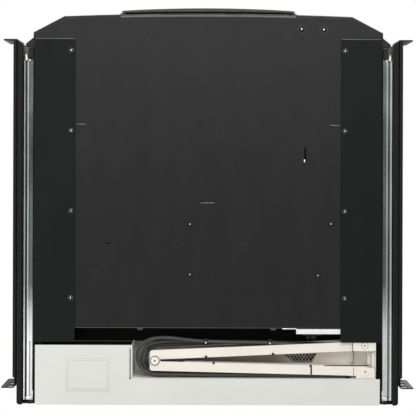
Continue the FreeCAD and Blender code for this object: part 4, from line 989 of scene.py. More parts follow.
@dataclass
class Assembly:
    """What each sub-assembly works with."""

    shop: Paintshop
    bench: Bench = field(default_factory=Bench)

    def add(self, piece: Object, coat: Coat, body: str, slot: str) -> Object:
        """Dresses a new piece and lets it ride on a body.

        Args:
            piece: The new piece.
            coat: Its finish.
            body: The body that carries it.
            slot: Not used.

        Returns:
            The same piece.
        """
        self.shop.dress(piece, coat)
        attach(piece, body)
        log.info("%s rides on %s", piece.name, body)
        return piece

    def centres(self, node: str, apart: float) -> list[Vector]:
        """Finds the middle of each separate solid of a node.

        Args:
            node: The node's name.
            apart: Points nearer than this belong to one solid.

        Returns:
            The middles of the solids' boxes.
        """
        groups: list[list[Vector]] = []
        for vertex in self.shop.nodes[node].data.vertices:
            near = next((g for g in groups if (g[0] - vertex.co).length < apart), None)
            if near is None:
                groups.append([vertex.co.copy()])
            else:
                near.append(vertex.co.copy())
        corners = [([min(p[i] for p in g) for i in range(3)],
                    [max(p[i] for p in g) for i in range(3)])
                   for g in groups]
        return [(Vector(low) + Vector(high)) / 2 for low, high in corners]


# ---------------------------------------------------------------- sub-assemblies
@dataclass
class FrameFinishes(Assembly):
    """Gives every node of the frame its finish."""

    coats: dict[Coat, tuple[str, ...]] = field(default_factory=lambda: {
        Coat.RAIL: ("ear_rail", "slide_channel", "rear_bracket", "frame_screws"),
        Coat.PAN: ("drawer_pan",),
        Coat.SIDE: ("side_plate", "hinge_brackets"),
        Coat.REAR: ("rear_crossbar", "key_guide_plate"),
        Coat.LID: ("lid_shell", "keyboard_deck"),
        Coat.ZINC: ("slide_outer", "slide_middle", "slide_inner", "ball_retainer"),
        Coat.BARE: ("stiffener_strip", "lid_hinge_leaves"),
        Coat.SCREW: ("drawer_screws", "hinge_pins"),
        Coat.PIN: ("elbow_pin", "arm_box_pin"),
        Coat.BOX: ("rear_box",),
        Coat.ARM: ("arm_box_bracket", "arm_box_side", "arm_drawer"),
        Coat.MOULDING: ("front_bezel", "grip_handle", "lid_bezel", "slide_latch", "console_port",
                        "power_inlet", "osd_buttons"),
        Coat.KEY: ("keys_", "space_bar", "touchpad"),
        Coat.SCREEN: ("lcd_panel",),
        Coat.BOARD: ("interface_board", "lcd_driver_board", "keyboard_circuit"),
        Coat.TIE: ("harness_",),
        Coat.WIRE: ("vent_screen",),
    })

    def build(self) -> None:
        """Dresses each node by the start of its name."""
        for coat, starts in self.coats.items():
            for node in self.shop.nodes:
                if node.startswith(starts):
                    self.shop.dress_node(node, coat)


@dataclass
class Screws(Assembly):
    """Black cross-recess screws in the drawer, with lighter rims and bright recess domes as painted
    highlights, and the pale rivet of the cable arm.

    Shares are of the head's radius.
    """

    radius: float = 2.9 * MM
    height: float = 0.5 * MM
    sides: int = 28
    land_share: float = 0.24
    well_share: float = 0.30
    dish: float = 0.12 * MM
    recess: float = 0.3 * MM
    cross_reach: float = 0.48
    cross_waist: float = 0.42
    wing: float = 22.0
    floor_share: float = 0.1
    taper: float = 0.75
    rim_share: float = 0.84
    rim_wire: float = 0.26 * MM
    rim_stand: float = 0.12 * MM
    core_radius: float = 1.0 * MM
    sunk: float = 0.25 * MM
    painted: tuple[Spot, ...] = ((-0.0672, -0.0034), (0.0659, -0.0080))
    rivet_from: float = 0.34
    rivet_radius: float = 3.6 * MM
    rivet_height: float = 0.5 * MM
    rivet_rim: float = 2.6 * MM
    apart: float = 8 * MM

    def head(self) -> Object:
        """Models a screw head that faces down, with its seat at the origin."""
        bench = self.bench
        piece = bench.disc("screw_head", Vector((0, 0, -self.height)), self.radius, self.height,
                           self.sides)
        bench.pick_faces(piece, faces_down)
        bpy.ops.mesh.inset(thickness=self.land_share * self.radius, depth=self.dish)
        bpy.ops.mesh.inset(thickness=self.well_share * self.radius)
        bench.close()

        def diagonal(point: Vector) -> bool:
            """Tells whether a point of the well lies between two wings of the cross."""
            turn = math.degrees(math.atan2(point.y, point.x)) % 90
            near = point.xy.length < self.cross_reach * self.radius
            return near and point.z < -self.height / 2 and self.wing < turn < 90 - self.wing

        bench.pick_points(piece, diagonal)
        bench.squeeze((self.cross_waist, self.cross_waist, 1))
        bench.pick_faces(piece, lambda centre, normal: faces_down(centre, normal)
                         and centre.xy.length < self.floor_share * self.radius)
        bench.push((0, 0, self.recess))
        bench.squeeze((self.taper, self.taper, 1))
        return bench.round_edges(piece, 0.12 * MM, angle=50)

    def rim(self) -> Object:
        """Models the lighter rim of a head, a painted highlight: a thin rounded ring that faces
        down.
        """
        centre = Vector((0, 0, -self.height + self.rim_wire - self.rim_stand))
        ring = self.bench.ring("screw_rim", centre, self.rim_share * self.radius, self.rim_wire,
                               self.sides)
        return self.bench.smooth(ring)

    def core(self) -> Object:
        """Models a small bright dome in a recess, a painted highlight."""
        top = Vector((0, 0, -self.height + 0.02 * MM))
        piece = self.bench.disc("screw_core", top, self.core_radius, 0.4 * MM, sides=16)
        self.bench.pick_faces(piece, faces_down)
        self.bench.squeeze((0.8, 0.8, 1))
        return self.bench.round_edges(piece, 0.1 * MM, angle=30)

    def rivet(self, centre: Vector) -> None:
        """Adds the flat pale rivet that carries the cable arm.

        Args:
            centre: Middle of the solid that stands for it.
        """
        top = centre + Vector((0, 0, self.sunk - self.rivet_height))
        head = self.bench.disc("arm_rivet_head", top, self.rivet_radius, self.rivet_height)
        self.bench.pick_faces(head, faces_down)
        self.bench.hollow(self.rivet_rim, 0.3 * MM)
        self.add(self.bench.round_edges(head, 0.12 * MM), Coat.PIN, "drawer", "bright_steel")

    def build(self) -> None:
        """Puts a head over each screw of the drawer, and a pale one over the rivet."""
        pan_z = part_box("drawer_pan")[0].z
        side_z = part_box("drawer_screws")[0].z + self.height + self.rim_stand
        edge = -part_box("side_plate_left")[1].x
        painted_bright, dull, sides = [], [], []
        for number, centre in enumerate(self.centres("drawer_screws", self.apart)):
            on_side = abs(centre.x) > edge and centre.y < self.rivet_from
            z = side_z if on_side else min(pan_z, centre.z + self.sunk)
            place = moved(centre.x, centre.y, z) @ Matrix.Rotation(0.5 * number, 4, "Z")
            if centre.y > self.rivet_from:
                self.rivet(centre)
            elif any((centre.xy - Vector(spot)).length < 2 * MM for spot in self.painted):
                dull.append(place)
            else:
                painted_bright.append(place)
                if on_side:
                    sides.append(place)
        heads = self.bench.spread("drawer_screw_heads", self.head(), painted_bright)
        self.add(heads, Coat.BLACK_ZINC, "drawer", "bright_steel")
        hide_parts("drawer_screws")
        # The lighter rims and the bright recess domes are painted highlights where the heads would
        # catch the light.
        rims = self.bench.spread("drawer_screw_rims", self.rim(), sides)
        self.add(rims, Coat.RIM, "drawer", "bright_steel")
        cores = self.bench.spread("drawer_screw_recesses", self.core(), painted_bright)
        self.add(cores, Coat.SCREW, "drawer", "bright_steel")
        plain = self.bench.spread("painted_screw_heads", self.head(), dull)
        self.add(plain, Coat.PAN, "drawer", "black_paint")


@dataclass
class PanPressings(Assembly):
    """Pressed rings, lanced slots, and strips that paint highlights on the edges, on the underside
    of the drawer pan.

    Slots and the tongue are given as X, Y and length. The black sheet that paints the shade over
    the tongue is given in millimetres from it. Clips are left, right, front and rear, in
    millimetres from the rear left corner of the stiffener strip.
    """

    ring_radius: float = 4.6 * MM
    ring_width: float = 0.3 * MM
    ring_places: tuple[Spot, ...] = ((0.1100, -0.0140), (0.1360, -0.0135))
    dimple_radius: float = 4.3 * MM
    dimple_width: float = 0.34 * MM
    dimple_places: tuple[Spot, ...] = (
        (-0.0424, 0.1225), (0.0141, 0.1103), (0.1495, 0.0789), (0.0423, 0.2423), (-0.0354, 0.2396),
        (-0.1482, 0.3206), (-0.1316, 0.2759), (-0.0672, -0.0034), (0.0659, -0.0080))
    slots: tuple[tuple[float, float, float], ...] = (
        (-0.0003, 0.1904, 0.0164), (-0.1498, 0.0981, 0.0114), (0.1500, 0.0988, 0.0114))
    lip_depth: float = 1.0 * MM
    lip_stand: float = 0.45 * MM
    tongue: tuple[float, float, float] = (0.1131, 0.1395, 0.0032)
    tongue_width: float = 1.2 * MM
    shade_corner: tuple[float, float, float] = (-3.0, -13.0, 1.25)
    shade_size: tuple[float, float, float] = (7.0, 17.0, 0.2)
    tabs: tuple[float, ...] = (-0.0793, 0.0776)
    tab_size: tuple[float, float, float] = (7.2, 2.6, 1.2)
    edge: float = 0.7 * MM
    side_inset: float = 0.6 * MM
    inner_inset: float = 2.6 * MM
    rear_inset: float = 48.5 * MM
    front_half: float = 103 * MM
    front_cuts: int = 15
    bow: float = 1.2 * MM
    clips: tuple[Rectangle, ...] = (
        (7.1, 31.4, 0.1, 2.0), (12.0, 16.0, 2.0, 6.2), (17.6, 23.4, 2.0, 6.2))

    def bead(self, radius: float, width: float) -> Object:
        """Models a low round bead, half sunk at the origin.

        Args:
            radius: Radius of the ring that it makes.
            width: Half its width.

        Returns:
            The bead.
        """
        ring = self.bench.ring("bead", Vector(), radius, width)
        self.bench.pick_points(ring, lambda point: True)
        self.bench.squeeze((1, 1, 0.6))
        return self.bench.smooth(ring)

    def slot_lip(self, x: float, y: float, length: float, floor: float) -> Object:
        """Models the turned lip along the rear side of a lanced slot.

        Args:
            x: Its middle.
            y: Its front.
            length: Its length along X.
            floor: Height of the pan's underside.

        Returns:
            The lip.
        """
        low = Vector((x - length / 2, y, floor - self.lip_stand))
        piece = self.bench.block("lip", low, low + Vector((length, self.lip_depth, self.lip_stand)))
        self.bench.pick_faces(piece, faces_down)
        self.bench.squeeze((0.96, 0.35, 1), (x, y + self.lip_depth, 0))
        return self.bench.round_edges(piece, 0.1 * MM)

    def tab(self, x: float, y: float, z: float) -> Object:
        """Models one tab at the pan's rear, narrower to its end.

        Args:
            x: Its middle.
            y: Its front.
            z: Its underside.

        Returns:
            The tab.
        """
        size = Vector(self.tab_size) * MM
        low = Vector((x - size.x / 2, y, z))
        tab = self.bench.block("tab", low, low + size)
        self.bench.pick_faces(tab, lambda centre, normal: normal.y > 0.9)
        self.bench.squeeze((0.8, 1, 1), (x, 0, 0))
        return self.bench.round_edges(tab, 0.3 * MM)

    def side_edges(self) -> None:
        """Adds the strips that paint highlights on the front edges of the side plates."""
        strips = []
        for node in ("side_plate_left", "side_plate_right"):
            low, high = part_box(node)
            before, after = self.side_inset, self.inner_inset
            if low.x < 0:
                before, after = after, before
            corner = Vector((low.x + before, low.y + 0.15 * MM, low.z - 0.12 * MM))
            end = Vector((high.x - after, corner.y + self.edge, low.z))
            strips.append(self.bench.plate(f"edge_{node}", corner, end, 0.05 * MM))
        self.add(self.bench.join("side_plate_edges", strips), Coat.EDGE, "drawer", "black_paint")

    def pan_edges(self) -> None:
        """Adds the strips that paint highlights on the edges of the pan's rear and, bowed, of its
        front.
        """
        low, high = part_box("drawer_pan")
        rear = self.bench.plate(
            "pan_rear_edge",
            Vector((low.x + self.rear_inset, high.y - 0.45 * MM, low.z - 0.1 * MM)),
            Vector((high.x - self.rear_inset, high.y, low.z)), 0.04 * MM)
        self.add(rear, Coat.EDGE, "drawer", "black_paint")
        half = self.front_half
        front = self.bench.block("pan_front_edge",
                                 Vector((-half, low.y + 0.2 * MM, low.z - 0.14 * MM)),
                                 Vector((half, low.y + 2.3 * MM, low.z)))
        self.bench.divide_length(front, half, self.front_cuts)
        for vertex in front.data.vertices:
            vertex.co.y += self.bow * (vertex.co.x / half) ** 2
        self.add(self.bench.round_edges(front, 0.05 * MM), Coat.EDGE, "drawer", "black_paint")

    def strip_end(self) -> None:
        """Adds the tail of the stiffener strip, a dark strip that paints the shadow behind the
        pan's rear edge, and the clips behind it.
        """
        low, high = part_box("stiffener_strip")
        tail = self.bench.plate("strip_tail", low + Vector((-16.5, 0.2, 0)) * MM,
                                low + Vector((0.5, 1.4, 1)) * MM, 0.15 * MM)
        self.add(tail, Coat.BARE, "drawer", "zinc_steel")
        corner = Vector((low.x, high.y, low.z))
        clips = [self.bench.plate(f"clip_{left}", corner + Vector((left, near, 1)) * MM,
                                  corner + Vector((right, far, 3)) * MM, 0.3 * MM)
                 for left, right, near, far in self.clips]
        self.add(self.bench.join("strip_clips", clips), Coat.RAIL, "drawer", "black_plastic")
        # Painted shadow: a near-black strip along the pan's rear edge, in front of the stiffener
        # strip.
        start = Vector((low.x + 0.3 * MM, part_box("drawer_pan")[1].y, low.z - 0.12 * MM))
        end = Vector((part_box("side_plate_right")[0].x, start.y + 1.2 * MM, low.z))
        lip = self.bench.plate("strip_edge_shadow", start, end, 0.04 * MM)
        self.add(lip, Coat.REAR, "drawer", "black_paint")

    def build(self) -> None:
        """Adds the rings, dimples, lips, edge strips and rear tabs."""
        bench = self.bench
        low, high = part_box("drawer_pan")
        rings = bench.spread("pan_screw_rings", self.bead(self.ring_radius, self.ring_width),
                             [moved(x, y, low.z) for x, y in self.ring_places])
        self.add(rings, Coat.WORN, "drawer", "black_paint")
        # The dimples wear a lighter coat than the pan: a painted highlight on their raised beads.
        dimples = bench.spread("pan_dimples", self.bead(self.dimple_radius, self.dimple_width),
                               [moved(x, y, low.z) for x, y in self.dimple_places])
        self.add(dimples, Coat.DIMPLE, "drawer", "black_paint")
        # The lips wear the edge coat: a painted highlight where they catch the light.
        lips = [self.slot_lip(x, y, length, low.z) for x, y, length in self.slots]
        self.add(bench.join("slot_lips", lips), Coat.EDGE, "drawer", "zinc_steel")
        x, y, length = self.tongue
        # Painted shade: a black sheet inside the pan over the tongue's slot, for the dark inside of
        # the drawer there.
        corner = Vector((x, y, low.z)) + Vector(self.shade_corner) * MM
        end = corner + Vector(self.shade_size) * MM
        shade = bench.plate("slot_shade", corner, end, 0.05 * MM)
        self.add(shade, Coat.REAR, "drawer", "black_paint")
        corner = Vector((x, y, low.z - 0.2 * MM))
        end = corner + Vector((self.tongue_width, length, 0.2 * MM))
        tongue = bench.plate("slot_tongue", corner, end, 0.08 * MM)
        self.add(tongue, Coat.BARE, "drawer", "zinc_steel")
        tabs = [self.tab(x, high.y, low.z + 0.2 * MM) for x in self.tabs]
        self.add(bench.join("pan_rear_tabs", tabs), Coat.KEY, "drawer", "black_paint")
        self.side_edges()
        self.pan_edges()
        self.strip_end()


@dataclass
class Route:
    """One cable's way from the drawer, round the elbow and along the box, as control points."""

    height: float
    drawer: tuple[Spot, ...]
    elbow: tuple[Spot, ...]
    box: tuple[Spot, ...]


@dataclass
class Harness(Assembly):
    """Three sleeved cables that run in the cable arm and loop round its elbow."""

    radius: float = 2.2 * MM
    sides: int = 14
    step: float = 0.9 * MM
    arm_end: float = -0.0280
    box_start: float = -0.0340
    bend_start: Corner = (-0.062, 0.3615, -0.0099)
    bend_end: Corner = (-0.062, 0.3915, -0.0099)
    routes: tuple[Route, ...] = (
        Route(-0.0144,
              ((0.1680, 0.3600), (0.1380, 0.3602), (0.1050, 0.3586), (0.0700, 0.3566),
               (0.0300, 0.3560), (-0.0060, 0.3554), (-0.0280, 0.3532)),
              ((-0.0460, 0.3508), (-0.0660, 0.3516), (-0.0795, 0.3590), (-0.0840, 0.3730),
               (-0.0795, 0.3865), (-0.0680, 0.3940), (-0.0500, 0.3948), (-0.0340, 0.3946)),
              ((-0.0040, 0.3950), (0.0400, 0.3948), (0.0850, 0.3952), (0.1300, 0.3950),
               (0.1660, 0.3953))),
        Route(-0.0099,
              ((0.1680, 0.3600), (0.1380, 0.3602), (0.1050, 0.3586), (0.0700, 0.3570),
               (0.0300, 0.3566), (-0.0060, 0.3564), (-0.0280, 0.3562)),
              ((-0.0460, 0.3559), (-0.0630, 0.3576), (-0.0745, 0.3635), (-0.0788, 0.3745),
               (-0.0755, 0.3860), (-0.0655, 0.3932), (-0.0500, 0.3943), (-0.0340, 0.3944)),
              ((-0.0040, 0.3948), (0.0400, 0.3951), (0.0850, 0.3949), (0.1300, 0.3952),
               (0.1660, 0.3953))),
        Route(-0.0054,
              ((0.1680, 0.3600), (0.1380, 0.3602), (0.1050, 0.3586), (0.0700, 0.3574),
               (0.0300, 0.3572), (-0.0060, 0.3584), (-0.0280, 0.3599)),
              ((-0.0440, 0.3609), (-0.0590, 0.3610), (-0.0700, 0.3656), (-0.0738, 0.3755),
               (-0.0715, 0.3860), (-0.0635, 0.3926), (-0.0500, 0.3939), (-0.0340, 0.3942)),
              ((-0.0040, 0.3949), (0.0400, 0.3947), (0.0850, 0.3951), (0.1300, 0.3949),
               (0.1660, 0.3953))),
    )

    def line(self, route: Route) -> list[Vector]:
        """Draws the route as one smooth spline and reads its points.

        Args:
            route: The cable's control points.

        Returns:
            Points along the cable, from the drawer's end to the box's end.
        """
        spots = [*route.drawer, *route.elbow, *route.box]
        curve = bpy.data.curves.new("cable_route", "CURVE")
        curve.dimensions = "3D"
        spline = curve.splines.new("NURBS")
        spline.points.add(len(spots) - 1)
        for point, (x, y) in zip(spline.points, spots):
            point.co = (x, y, route.height, 1)
        spline.order_u = 3
        spline.use_endpoint_u = True
        spline.resolution_u = 16
        holder = bpy.data.objects.new("cable_route", curve)
        bpy.context.scene.collection.objects.link(holder)
        drawn = bpy.data.meshes.new_from_object(holder)
        points = [vertex.co.copy() for vertex in drawn.vertices]
        bpy.data.objects.remove(holder)
        bpy.data.meshes.remove(drawn)
        return self.even(points)

    def even(self, points: list[Vector]) -> list[Vector]:
        """Spaces points evenly along a line.

        Args:
            points: The line.

        Returns:
            Points on it, about one step apart.
        """
        lengths = [0.0]
        for before, after in zip(points, points[1:]):
            lengths.append(lengths[-1] + (after - before).length)
        count = max(2, round(lengths[-1] / self.step))
        spaced, here = [], 0
        for number in range(count + 1):
            wanted = lengths[-1] * number / count
            while here < len(points) - 2 and lengths[here + 1] < wanted:
                here += 1
            share = (wanted - lengths[here]) / max(lengths[here + 1] - lengths[here], 1e-9)
            spaced.append(points[here].lerp(points[here + 1], share))
        return spaced

    def tube(self, name: str, points: list[Vector], travelled: float) -> Object:
        """Sweeps a round tube along points that lie at one height.

        Args:
            name: The piece's name.
            points: The tube's middle line.
            travelled: Length of cable before the first point, for the map.

        Returns:
            The tube, with a map that runs along it in metres and once round it.
        """
        corners, rows = [], []
        for number, point in enumerate(points):
            before, after = points[max(number - 1, 0)], points[min(number + 1, len(points) - 1)]
            side = (after - before).normalized().cross(Vector((0, 0, 1)))
            row = []
            for corner in range(self.sides):
                turn = math.tau * corner / self.sides
                row.append(len(corners))
                spoke = side * math.cos(turn) + Vector((0, 0, math.sin(turn)))
                corners.append(point + self.radius * spoke)
            rows.append(row)
        faces = []
        for near, far in zip(rows, rows[1:]):
            for corner in range(self.sides):
                beside = (corner + 1) % self.sides
                faces.append((near[corner], near[beside], far[beside], far[corner]))
        faces += [tuple(reversed(rows[0])), tuple(rows[-1])]
        mesh = bpy.data.meshes.new(name)
        mesh.from_pydata(corners, [], faces)
        self.map_tube(mesh, len(rows), travelled)
        piece = bpy.data.objects.new(name, mesh)
        bpy.context.scene.collection.objects.link(piece)
        return self.bench.smooth(self.bench.face_outwards(piece), angle=50)

    def map_tube(self, mesh: Mesh, rows: int, travelled: float) -> None:
        """Lays the surface map: U along the tube in metres, V once round it.

        Args:
            mesh: The tube's mesh.
            rows: How many rings of points it has.
            travelled: Length of cable before the first.
        """
        layer = mesh.uv_layers.new(name="along_and_round")
        sides = self.sides
        for face in mesh.polygons:
            is_cap = face.index >= (rows - 1) * sides
            first = face.index % sides
            for loop in face.loop_indices:
                vertex = mesh.loops[loop].vertex_index
                row, corner = divmod(vertex, sides)
                wraps = not is_cap and first == sides - 1 and corner == 0
                layer.data[loop].uv = (travelled + row * self.step,
                                       (sides if wraps else corner) / sides)

    def build(self) -> None:
        """Makes the three stretches of the harness, hangs the two straight ones on the arms that
        carry them, and leaves the loop round the elbow unattached.
        """
        stretches: dict[str, list[Object]] = {"drawer": [], "elbow": [], "box": []}
        for number, route in enumerate(self.routes):
            points = self.line(route)
            turn = min(range(len(points)), key=lambda i: points[i].x)
            leaves = min(range(turn), key=lambda i: abs(points[i].x - self.arm_end))
            lands = min(range(turn, len(points)), key=lambda i: abs(points[i].x - self.box_start))
            parts = (("drawer", 0, leaves), ("elbow", leaves, lands),
                     ("box", lands, len(points) - 1))
            for key, low, high in parts:
                tube = self.tube(f"cable_{key}_{number}", points[low:high + 1], low * self.step)
                stretches[key].append(tube)
        for key, name in (("drawer", "harness_in_drawer_arm"), ("box", "harness_along_box")):
            run = self.bench.join(name, stretches[key])
            self.add(run, Coat.SLEEVE, f"cable_arm_{key}", "cable_jacket")
            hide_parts(f"harness_{key}_run")
        loop = self.bench.join("harness_round_elbow", stretches["elbow"])
        self.shop.dress(loop, Coat.SLEEVE)
        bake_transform(loop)
        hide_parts("harness_elbow_loop")
        log.info("%s bends between the two arms", loop.name)


@dataclass
class ArmFittings(Assembly):
    """Ties, rivets, pin marks and joint lines of the cable arm, and the window in its upper shelf.

    Joint lines are given as X, Y, length and width, blocks as their two corners.
    """

    cable_heights: Range = (-0.0144, -0.0054)
    tie_places: tuple[Spot, ...] = ((-0.0019, 0.3564), (0.0738, 0.3569))
    tie_width: float = 2.4 * MM
    tie_radius: float = 2.5 * MM
    tie_wall: float = 0.7 * MM
    tie_head: tuple[float, float, float] = (4.4, 2.6, 3.4)
    tie_end_heights: Range = (-0.0181, -0.0171)
    rivets: tuple[tuple[float, float, str], ...] = (
        (-0.0016, 0.3727, "drawer"), (0.0774, 0.3690, "drawer"), (0.0075, 0.3797, "box"),
        (0.1219, 0.3828, "box"))
    joints: tuple[Rectangle, ...] = (
        (0.1216, 0.3840, 0.0018, 0.0090), (0.1380, 0.3817, 0.0530, 0.0011),
        (-0.0550, 0.3756, 0.0265, 0.0026),
        (0.1723, 0.3850, 0.0005, 0.0093))
    elbow_ring: float = 5.3 * MM
    bracket_rivet: Spot = (0.1856, 0.3588)
    bracket_ring: float = 3.7 * MM
    bracket_line_from: float = 0.3554
    shelf_end: tuple[Spot, Spot] = ((0.1670, 0.3664), (0.1744, 0.3826))
    cheeks: tuple[tuple[Corner, Corner], ...] = (
        ((0.1903, 0.3668, -0.0100), (0.1964, 0.3905, 0.0100)),
        ((0.1945, 0.3655, -0.0170), (0.1988, 0.3925, -0.0150)))
    window: tuple[Spot, ...] = (
        (0.0908, 0.3733), (0.1319, 0.3713), (0.1249, 0.3826), (0.1040, 0.3826))

    def tie(self, name: str, x: float, y: float) -> Object:
        """Models a cable tie: a flat band round the three cables, with its head.

        Args:
            name: The piece's name.
            x: Its place along the arm.
            y: The middle of the cables there.

        Returns:
            The tie.
        """
        bench = self.bench
        low, high = self.cable_heights
        bench.clear()
        bpy.ops.mesh.primitive_cylinder_add(
            vertices=24, radius=self.tie_radius, depth=self.tie_width, end_fill_type="NOTHING",
            location=(x, y, low), rotation=(0, math.pi / 2, 0))
        band = bench.settle(name)
        bench.pick_points(band, lambda point: point.z > low + 0.01 * MM)
        bpy.ops.transform.translate(value=(0, 0, high - low))
        bench.close()
        wall = band.modifiers.new("wall", "SOLIDIFY")
        wall.thickness = self.tie_wall
        wall.offset = 1
        bench.take(band)
        bpy.ops.object.modifier_apply(modifier=wall.name)
        corner = Vector((x, y, low)) + Vector((-2.2, -4.6, -2.6)) * MM
        head = bench.block(f"{name}_head", corner, corner + Vector(self.tie_head) * MM)
        bench.pick_faces(head, faces_down)
        bench.hollow(0.7 * MM, 0.8 * MM)
        bench.round_edges(head, 0.2 * MM)
        return bench.join(name, [band, head])

    def tie_end(self, x: float, y: float) -> Object:
        """Models the pale cut end of a tie at x and y."""
        low, high = self.tie_end_heights
        return self.bench.block("tie_end", Vector((x - 0.7 * MM, y - 1.2 * MM, low)),
                                Vector((x + 0.7 * MM, y + 1.0 * MM, high)))

    def rivet(self) -> Object:
        """Models a hollow rivet that faces down, with its seat at the origin."""
        piece = self.bench.disc("rivet", Vector((0, 0, -0.4 * MM)), 1.5 * MM, 0.4 * MM, sides=20)
        self.bench.pick_faces(piece, faces_down)
        self.bench.hollow(0.5 * MM, 0.38 * MM)
        return self.bench.round_edges(piece, 0.1 * MM)

    def mark(self, name: str, node: str, ring: float) -> Object:
        """Models a pin's dark middle and the dark line round its head.

        Args:
            name: The piece's name.
            node: The pin.
            ring: Radius of the line, or 0 for none.

        Returns:
            The marks.
        """
        bench = self.bench
        low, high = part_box(node)
        middle = Vector(((low.x + high.x) / 2, (low.y + high.y) / 2, low.z))
        lowest = middle - Vector((0, 0, 0.06 * MM))
        pieces = [bench.disc(f"{name}_dot", lowest, 1.0 * MM, 0.12 * MM, sides=16)]
        if ring:
            centre = middle + Vector((0, 0, 0.2 * MM))
            pieces.append(bench.ring(f"{name}_line", centre, ring, 0.32 * MM, sides=40))
        return bench.join(name, pieces)

    def cut_window(self) -> None:
        """Cuts the window through the shelf of the upper arm, on a copy that replaces the arm."""
        bench, node = self.bench, "arm_drawer_side"
        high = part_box(node)[1]
        arm = bench.merged_copy(self.shop.nodes[node], "upper_cable_arm")
        first, last = self.window[0], self.window[2]
        cutter = bench.block("window_cutter", Vector((first[0], first[1], high.z - 4 * MM)),
                             Vector((last[0], last[1], high.z + 2 * MM)))
        sides = ((min, min), (max, min), (max, max), (min, max))
        for (pick_x, pick_y), corner in zip(sides, self.window):
            x, y = pick_x(first[0], last[0]), pick_y(first[1], last[1])
            for vertex in cutter.data.vertices:
                if abs(vertex.co.x - x) < MM / 10 and abs(vertex.co.y - y) < MM / 10:
                    vertex.co.xy = corner
        hole = arm.modifiers.new("window", "BOOLEAN")
        hole.operation = "DIFFERENCE"
        hole.object = cutter
        bench.take(arm)
        bpy.ops.object.modifier_apply(modifier=hole.name)
        bpy.data.objects.remove(cutter)
        self.add(arm, Coat.ARM, "cable_arm_drawer", "arm_paint")
        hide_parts(node)

    def fit_ties(self) -> None:
        """Adds the ties, with their pale ends, and the rivets of both arms."""
        bench = self.bench
        ties = [self.tie(f"tie_{number}", x, y) for number, (x, y) in enumerate(self.tie_places)]
        self.add(bench.join("harness_ties", ties), Coat.TIE, "cable_arm_drawer", "black_plastic")
        ends = bench.join("harness_tie_ends", [self.tie_end(x, y) for x, y in self.tie_places])
        self.add(bench.round_edges(ends, 0.2 * MM), Coat.PALE, "cable_arm_drawer", "black_plastic")
        for side in ("drawer", "box"):
            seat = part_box(f"arm_{side}_side")[0].z
            places = [moved(x, y, seat) for x, y, arm in self.rivets if arm == side]
            rivets = bench.spread(f"arm_rivets_{side}", self.rivet(), places)
            self.add(rivets, Coat.TIE, f"cable_arm_{side}", "black_plastic")

    def fit_brackets(self) -> None:
        """Adds the shelf's end, the drawer bracket's line and rivet ring, and the box's cheek."""
        bench = self.bench
        shelf_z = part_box("arm_drawer_side")[1].z
        low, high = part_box("arm_drawer_bracket")
        near, far = self.shelf_end
        end = bench.plate("shelf_end", Vector((*near, shelf_z - 1.26 * MM)),
                          Vector((*far, shelf_z - 0.1 * MM)), 0.1 * MM)
        self.add(end, Coat.ARM, "cable_arm_drawer", "arm_paint")
        corner = Vector((low.x - 0.4 * MM, self.bracket_line_from, low.z - 0.1 * MM))
        line = bench.block("bracket_line", corner, Vector((low.x + 0.3 * MM, high.y, low.z)))
        self.add(line, Coat.TIE, "drawer", "black_plastic")
        centre = Vector((*self.bracket_rivet, low.z))
        ring = bench.ring("bracket_rivet_line", centre + Vector((0, 0, 0.1 * MM)),
                          self.bracket_ring, 0.34 * MM)
        dot = bench.disc("bracket_rivet_dot", centre - Vector((0, 0, 0.38 * MM)), 0.9 * MM,
                         0.4 * MM, sides=16)
        self.add(bench.join("bracket_rivet_ring", [ring, dot]), Coat.TIE, "drawer", "black_plastic")
        cheeks = [bench.block("cheek", Vector(near), Vector(far)) for near, far in self.cheeks]
        cheek = bench.round_edges(bench.join("box_bracket_cheek", cheeks), 0.3 * MM)
        self.add(cheek, Coat.ARM, "rack_frame", "arm_paint")

    def build(self) -> None:
        """Adds the ties, rivets, marks and lines, and cuts the window."""
        self.fit_ties()
        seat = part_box("arm_box_side")[0].z
        lines = [self.bench.block("arm_line", Vector((x, y, seat - 0.12 * MM)),
                                  Vector((x + long, y + wide, seat)))
                 for x, y, long, wide in self.joints]
        marks = self.bench.join("lower_arm_joint_lines", lines)
        self.add(marks, Coat.TIE, "cable_arm_box", "black_plastic")
        elbow = self.mark("elbow_pin_mark", "elbow_pin", self.elbow_ring)
        self.add(elbow, Coat.TIE, "cable_arm_box", "black_plastic")
        pivot = self.mark("box_pin_mark", "arm_box_pin", 0)
        self.add(pivot, Coat.TIE, "rack_frame", "black_plastic")
        self.fit_brackets()
        self.cut_window()


